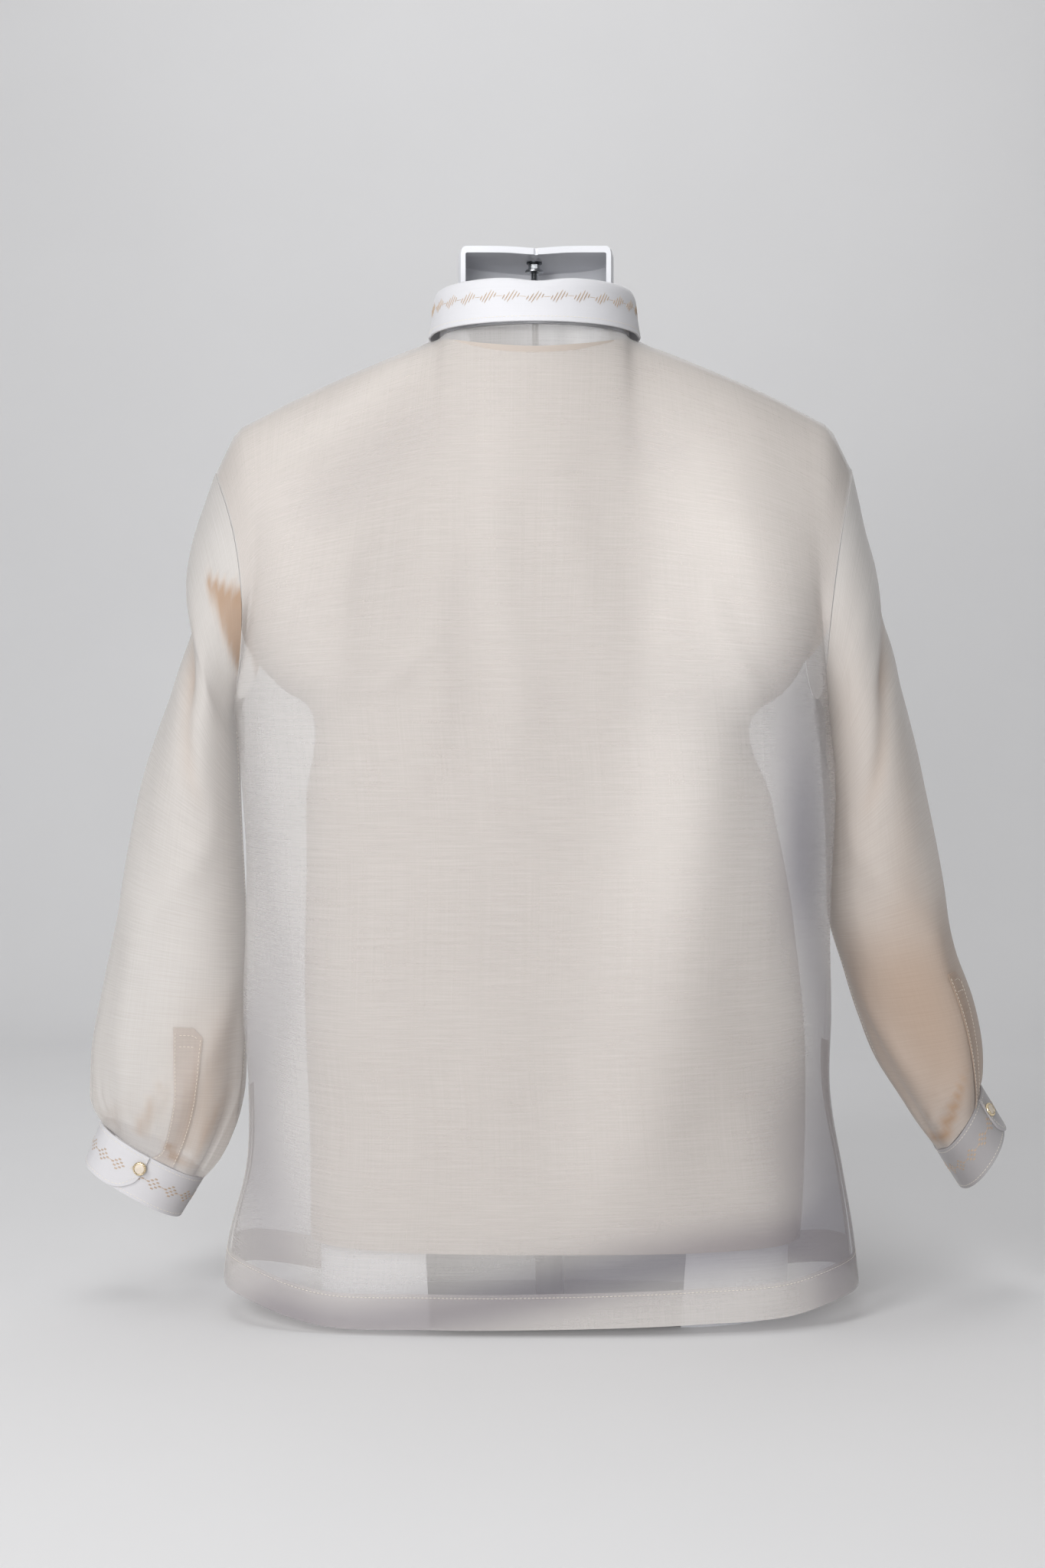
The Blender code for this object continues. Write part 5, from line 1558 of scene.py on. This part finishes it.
EDGE_STITCH = 0.0025
EDGE_GAP = 0.004
UNDERARM_END = 0.010
PLACKET_STITCH = 0.4
PLACKET_STITCH_ROWS = (2, 5)
FOLD_GAP = 0.006
STAND_STITCH = 0.003
COLLAR_BORDER_INSET = 0.010
COLLAR_BORDER_SHARE = 0.36
CUFF_BORDER_START = 0.006
CUFF_BORDER_END = 0.010
CUFF_BORDER_SHARE = 0.48
back_sewing, front_sewing, sleeve_sewing, band_sewing, border = [], [], [], [], []
for cloth, sewing, open_sides in (
    (back_cloth, back_sewing, ("left", "right")),
    (left_cloth, front_sewing, ("left",)),
    (right_cloth, front_sewing, ("right",)),
):
    last, low_end = cloth.across[-1], cloth.down[-1] - EDGE_STITCH
    hem = cloth.row(HEM_ROW) + EDGE_STITCH
    routes = [[(EDGE_STITCH, hem), (last - EDGE_STITCH, hem)]]
    for side_name in open_sides:
        edge, way = (0, 1) if side_name == "left" else (last, -1)
        top = cloth.row(FACING_TOP[side_name])
        for reach in (FACING_WIDTH - EDGE_STITCH, EDGE_STITCH):
            routes.append([(edge + way * reach, top), (edge + way * reach, low_end)])
        routes.append([(edge + way * EDGE_GAP, top), (edge + way * FACING_WIDTH, top)])
    sewing += [stitched(cloth, route) for route in routes]
for cloth, grids in ((left_sleeve, left_placket), (right_sleeve, right_placket)):
    line = cloth.column(SEAM_STEPS) + EDGE_GAP
    route = [(line, EDGE_GAP), (line, cloth.down[-1] - UNDERARM_END)]
    sleeve_sewing.append(stitched(cloth, route))
    on_strip = SLEEVE_PLACKET_LIFT + STITCH_LIFT
    for edge, inside in ((0, 1), (-1, -2)):
        line = [g[:, edge] * (1 - PLACKET_STITCH) + g[:, inside] * PLACKET_STITCH for g in grids]
        sleeve_sewing.append(stitched(cloth, np.column_stack(line)[1:], on_strip))
    for step in PLACKET_STITCH_ROWS:
        level = np.column_stack([g[step, 1:-1] for g in grids])
        sleeve_sewing.append(stitched(cloth, level, on_strip))

top = front_cloth.row(FRONT_PLACKET_TOP) + EDGE_STITCH
for reach in (-1, 1):
    line = middle + reach * (FRONT_PLACKET / 2 - EDGE_STITCH)
    route = [(line, top), (line, front_cloth.down[-1] - EDGE_STITCH)]
    front_sewing.append(stitched(front_cloth, route, FRONT_PLACKET_LIFT + PLACKET_SKIN))

for cloth in cuffs.values():
    last, bottom = cloth.across[-1], cloth.down[-1]
    reach = CUFF_CORNER - EDGE_STITCH
    centre = (last - CUFF_CORNER, bottom - CUFF_CORNER)
    turn = [
        (centre[0] + reach * math.sin(angle), centre[1] + reach * math.cos(angle))
        for angle in np.linspace(0, math.pi / 2, 7)
    ]
    ends = [(last - EDGE_STITCH, EDGE_STITCH), (EDGE_STITCH, EDGE_STITCH)]
    band_sewing.append(stitched(cloth, [(EDGE_STITCH, bottom - EDGE_STITCH), *turn, *ends]))

fold_run = fall_cloth.row(FOLD_STEPS + 1)
last, low_line = fall_cloth.across[-1], fall_cloth.down[-1] - EDGE_GAP
top = fold_run + FOLD_GAP
route = [(EDGE_GAP, top), (EDGE_GAP, low_line), (last - EDGE_GAP, low_line), (last - EDGE_GAP, top)]
band_sewing.append(stitched(fall_cloth, route))
stand_line = stand_cloth.down[-1] - STAND_STITCH
route = [(EDGE_GAP, stand_line), (stand_cloth.across[-1] - EDGE_GAP, stand_line)]
band_sewing.append(stitched(stand_cloth, route))
line = fold_run + COLLAR_BORDER_SHARE * (fall_cloth.down[-1] - fold_run)
ends = (COLLAR_BORDER_INSET, last - COLLAR_BORDER_INSET)
border += bordered(fall_cloth, *ends, COLLAR_PITCH, line, SLANTED, 2)

CUFF_BUTTON_ROW = 1.35
CUFF_BUTTON_COLUMN = 2.4
FRONT_BUTTON_ROWS = (3, 8.6, 14.4, 16, 17.6)
BUTTONHOLE = 0.0150
HOLE_PITCH = 0.0004
HOLE_REACH = 0.0014
HOLE_SLIT = 0.0002
HOLE_HIGH = 0.0003


def buttonhole(cloth, across, down, along_across, lift=STITCH_LIFT):
    """Two close rows of short stitches on the long edges of a slit."""
    low, high = [], []
    for reach in np.arange(-BUTTONHOLE / 2, BUTTONHOLE / 2, HOLE_PITCH):
        for way in (-1, 1):
            near, far = way * HOLE_SLIT, way * (HOLE_SLIT + HOLE_REACH)
            if along_across:
                low.append((across + reach, down + near))
                high.append((across + reach, down + far))
            else:
                low.append((across + near, down + reach))
                high.append((across + far, down + reach))
    return marks_between(cloth, low, high, lift, HOLE_HIGH, HOLE_PITCH)


button_spots = []
for side_name, cloth in cuffs.items():
    across = cloth.column(len(cloth.column_keys) - CUFF_BUTTON_COLUMN)
    down = cloth.row(CUFF_BUTTON_ROW)
    button_spots.append((f"button_cuff_{side_name}", cloth, across, down, 0))
    band_sewing.append(buttonhole(cloth, across, down, True))
    ends = (CUFF_BORDER_START, across - CUFF_BORDER_END)
    line = cloth.down[-1] * CUFF_BORDER_SHARE
    border += bordered(cloth, *ends, CUFF_PITCH, line, CHECKED, 3)
for number, row in enumerate(FRONT_BUTTON_ROWS, 1):
    down = front_cloth.row(row)
    lift = FRONT_PLACKET_LIFT + PLACKET_SKIN
    button_spots.append((f"button_front_{number}", front_cloth, middle, down, lift))
    front_sewing.append(buttonhole(front_cloth, middle, down, False, lift + STITCH_LIFT))

for name, marks in (
    ("stitching_back", back_sewing),
    ("stitching_fronts", front_sewing),
    ("stitching_sleeves", sleeve_sewing),
    ("stitching_collar_and_cuffs", band_sewing),
):
    threads(name, marks, stitch_thread, "folded_cloth")
threads("embroidered_border", border, gold_thread, "collar_cloth", 6, 6)

# Buttons: flat beige shell discs in gilt rims set with small beads, sewn on through the
# band or placket, two on the cuffs and five down the front.

BUTTON_SEAT = 0.0006
GILT_RIM = (
    # radius, height
    (0.0016, -0.0006),
    (0.0016, 0.0000),
    (0.0046, 0.0001),
    (0.0052, 0.0006),
    (0.0054, 0.0012),
    (0.0052, 0.0018),
    (0.0047, 0.0022),
    (0.0042, 0.0023),
    (0.0039, 0.0021),
    (0.0038, 0.0018),
)
SHELL_DISC = (
    # radius, height
    (0.0038, 0.0017),
    (0.0038, 0.0021),
    (0.0036, 0.0023),
    (0.0024, 0.0025),
    (0.0010, 0.0026),
)
BEADS = 20
BEAD = 0.0011
BEAD_RING = (0.0047, 0.0021)
GILT = (0.80, 0.68, 0.47)
SHELL_BEIGE = (0.76, 0.67, 0.56)

gilt = mottled(new_material("gilt metal", GILT, 0.28, 1.0), 700, 0.15, 0.15)
shell_beige = mottled(new_material("beige shell", SHELL_BEIGE, 0.3, sheen=0.1), 260, 0.10, 0.05)
for node, cloth, across, down, lift in button_spots:
    seat, out = cloth.at(across, down, lift + BUTTON_SEAT)
    rim = turned(node.replace("button", "gilt_rim"), GILT_RIM, seat, out, gilt, 36)
    disc = turned(node.replace("button", "shell_disc"), SHELL_DISC, seat, out, shell_beige, 36)
    aside = unit(np.cross(out, (0, 0, 1)))
    upward = np.cross(aside, out)
    turns = np.linspace(0, 2 * math.pi, BEADS, endpoint=False)[:, None]
    spokes = aside * np.cos(turns) + upward * np.sin(turns)
    places = seat + spokes * BEAD_RING[0] + out * BEAD_RING[1]
    sizes = np.full((BEADS, 3), BEAD)
    beads = [(places, np.repeat(out[None], BEADS, axis=0), spokes, sizes)]
    threads(node.replace("button", "beads"), beads, gilt, "button", 8, 6)
    for made in (rim, disc):
        placed(made, node)

# Floor and backdrop: one pale sweep of paper. Light is soft and comes mostly from the
# upper left, so that the shirt's right side lies in a mild shade.

CAMERA_PLACE = (-0.0173, -1.8036, 0.404)
PHOTO_HEIGHT = 2048
PHOTO_FOCUS = 3024
SENSOR = 24
SWEEP_WIDTH = 7.0
SWEEP_DEPTH = 2.6
SWEEP_RADIUS = 0.8
SWEEP_HEIGHT = 3.2
SWEEP_NEAR = -3.2
SWEEP_STEPS = 12
PALE_GREY = (0.82, 0.82, 0.83)
LIGHTS = (
    # name, place, aim, size, watts
    ("key light", (-1.5, -2.3, 1.9), (0, 0, 0.45), 1.1, 33),
    ("front light", (-0.5, -2.7, 0.75), (0, 0, 0.60), 1.0, 31),
    ("side light", (2.3, -1.3, 2.3), (0, 0, 0.42), 1.2, 5),
    ("top light", (-0.4, -0.5, 2.8), (0, 0, 0.42), 1.4, 13),
    ("backdrop light", (0.0, 0.9, 2.7), (0, 2.4, 0.5), 2.0, 16),
)
SKY_STRENGTH = 0.18

outline = [(SWEEP_NEAR, 0.0)]
for angle in np.linspace(0, math.pi / 2, SWEEP_STEPS + 1):
    bend_y = SWEEP_DEPTH - SWEEP_RADIUS + SWEEP_RADIUS * math.sin(angle)
    outline.append((bend_y, SWEEP_RADIUS - SWEEP_RADIUS * math.cos(angle)))
outline.append((SWEEP_DEPTH, SWEEP_HEIGHT))
points = [(x, y, z) for y, z in outline for x in (-SWEEP_WIDTH / 2, SWEEP_WIDTH / 2)]
faces = [(2 * k, 2 * k + 1, 2 * k + 3, 2 * k + 2) for k in range(len(outline) - 1)]
paper = mottled(new_material("pale paper", PALE_GREY, 0.9), 3, 0.01)
make_piece("paper_sweep", points, faces, paper)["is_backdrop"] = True

for name, place, aim, size, watts in LIGHTS:
    light = bpy.data.lights.new(name, "AREA")
    light.shape = "DISK"
    light.size = size
    light.energy = watts
    lamp = bpy.data.objects.new(name, light)
    lamp.location = place
    lamp.rotation_euler = (Vector(aim) - Vector(place)).to_track_quat("-Z", "Y").to_euler()
    bpy.context.scene.collection.objects.link(lamp)

world = bpy.data.worlds.new("soft sky")
world.use_nodes = True
world.node_tree.nodes["Background"].inputs["Color"].default_value = (1, 1, 1, 1)
world.node_tree.nodes["Background"].inputs["Strength"].default_value = SKY_STRENGTH
bpy.context.scene.world = world
bpy.context.scene.view_settings.view_transform = "Standard"

camera_data = bpy.data.cameras.new("camera")
camera_data.sensor_fit = "VERTICAL"
camera_data.sensor_height = SENSOR
camera_data.lens = SENSOR * PHOTO_FOCUS / PHOTO_HEIGHT
camera = bpy.data.objects.new("camera", camera_data)
camera.location = CAMERA_PLACE
camera.rotation_euler = (math.pi / 2, 0, 0)
bpy.context.scene.collection.objects.link(camera)
bpy.context.scene.camera = camera

low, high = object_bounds()
sizes = {"cad": [list(cad_low), list(cad_high)], "visual": [list(low), list(high)]}
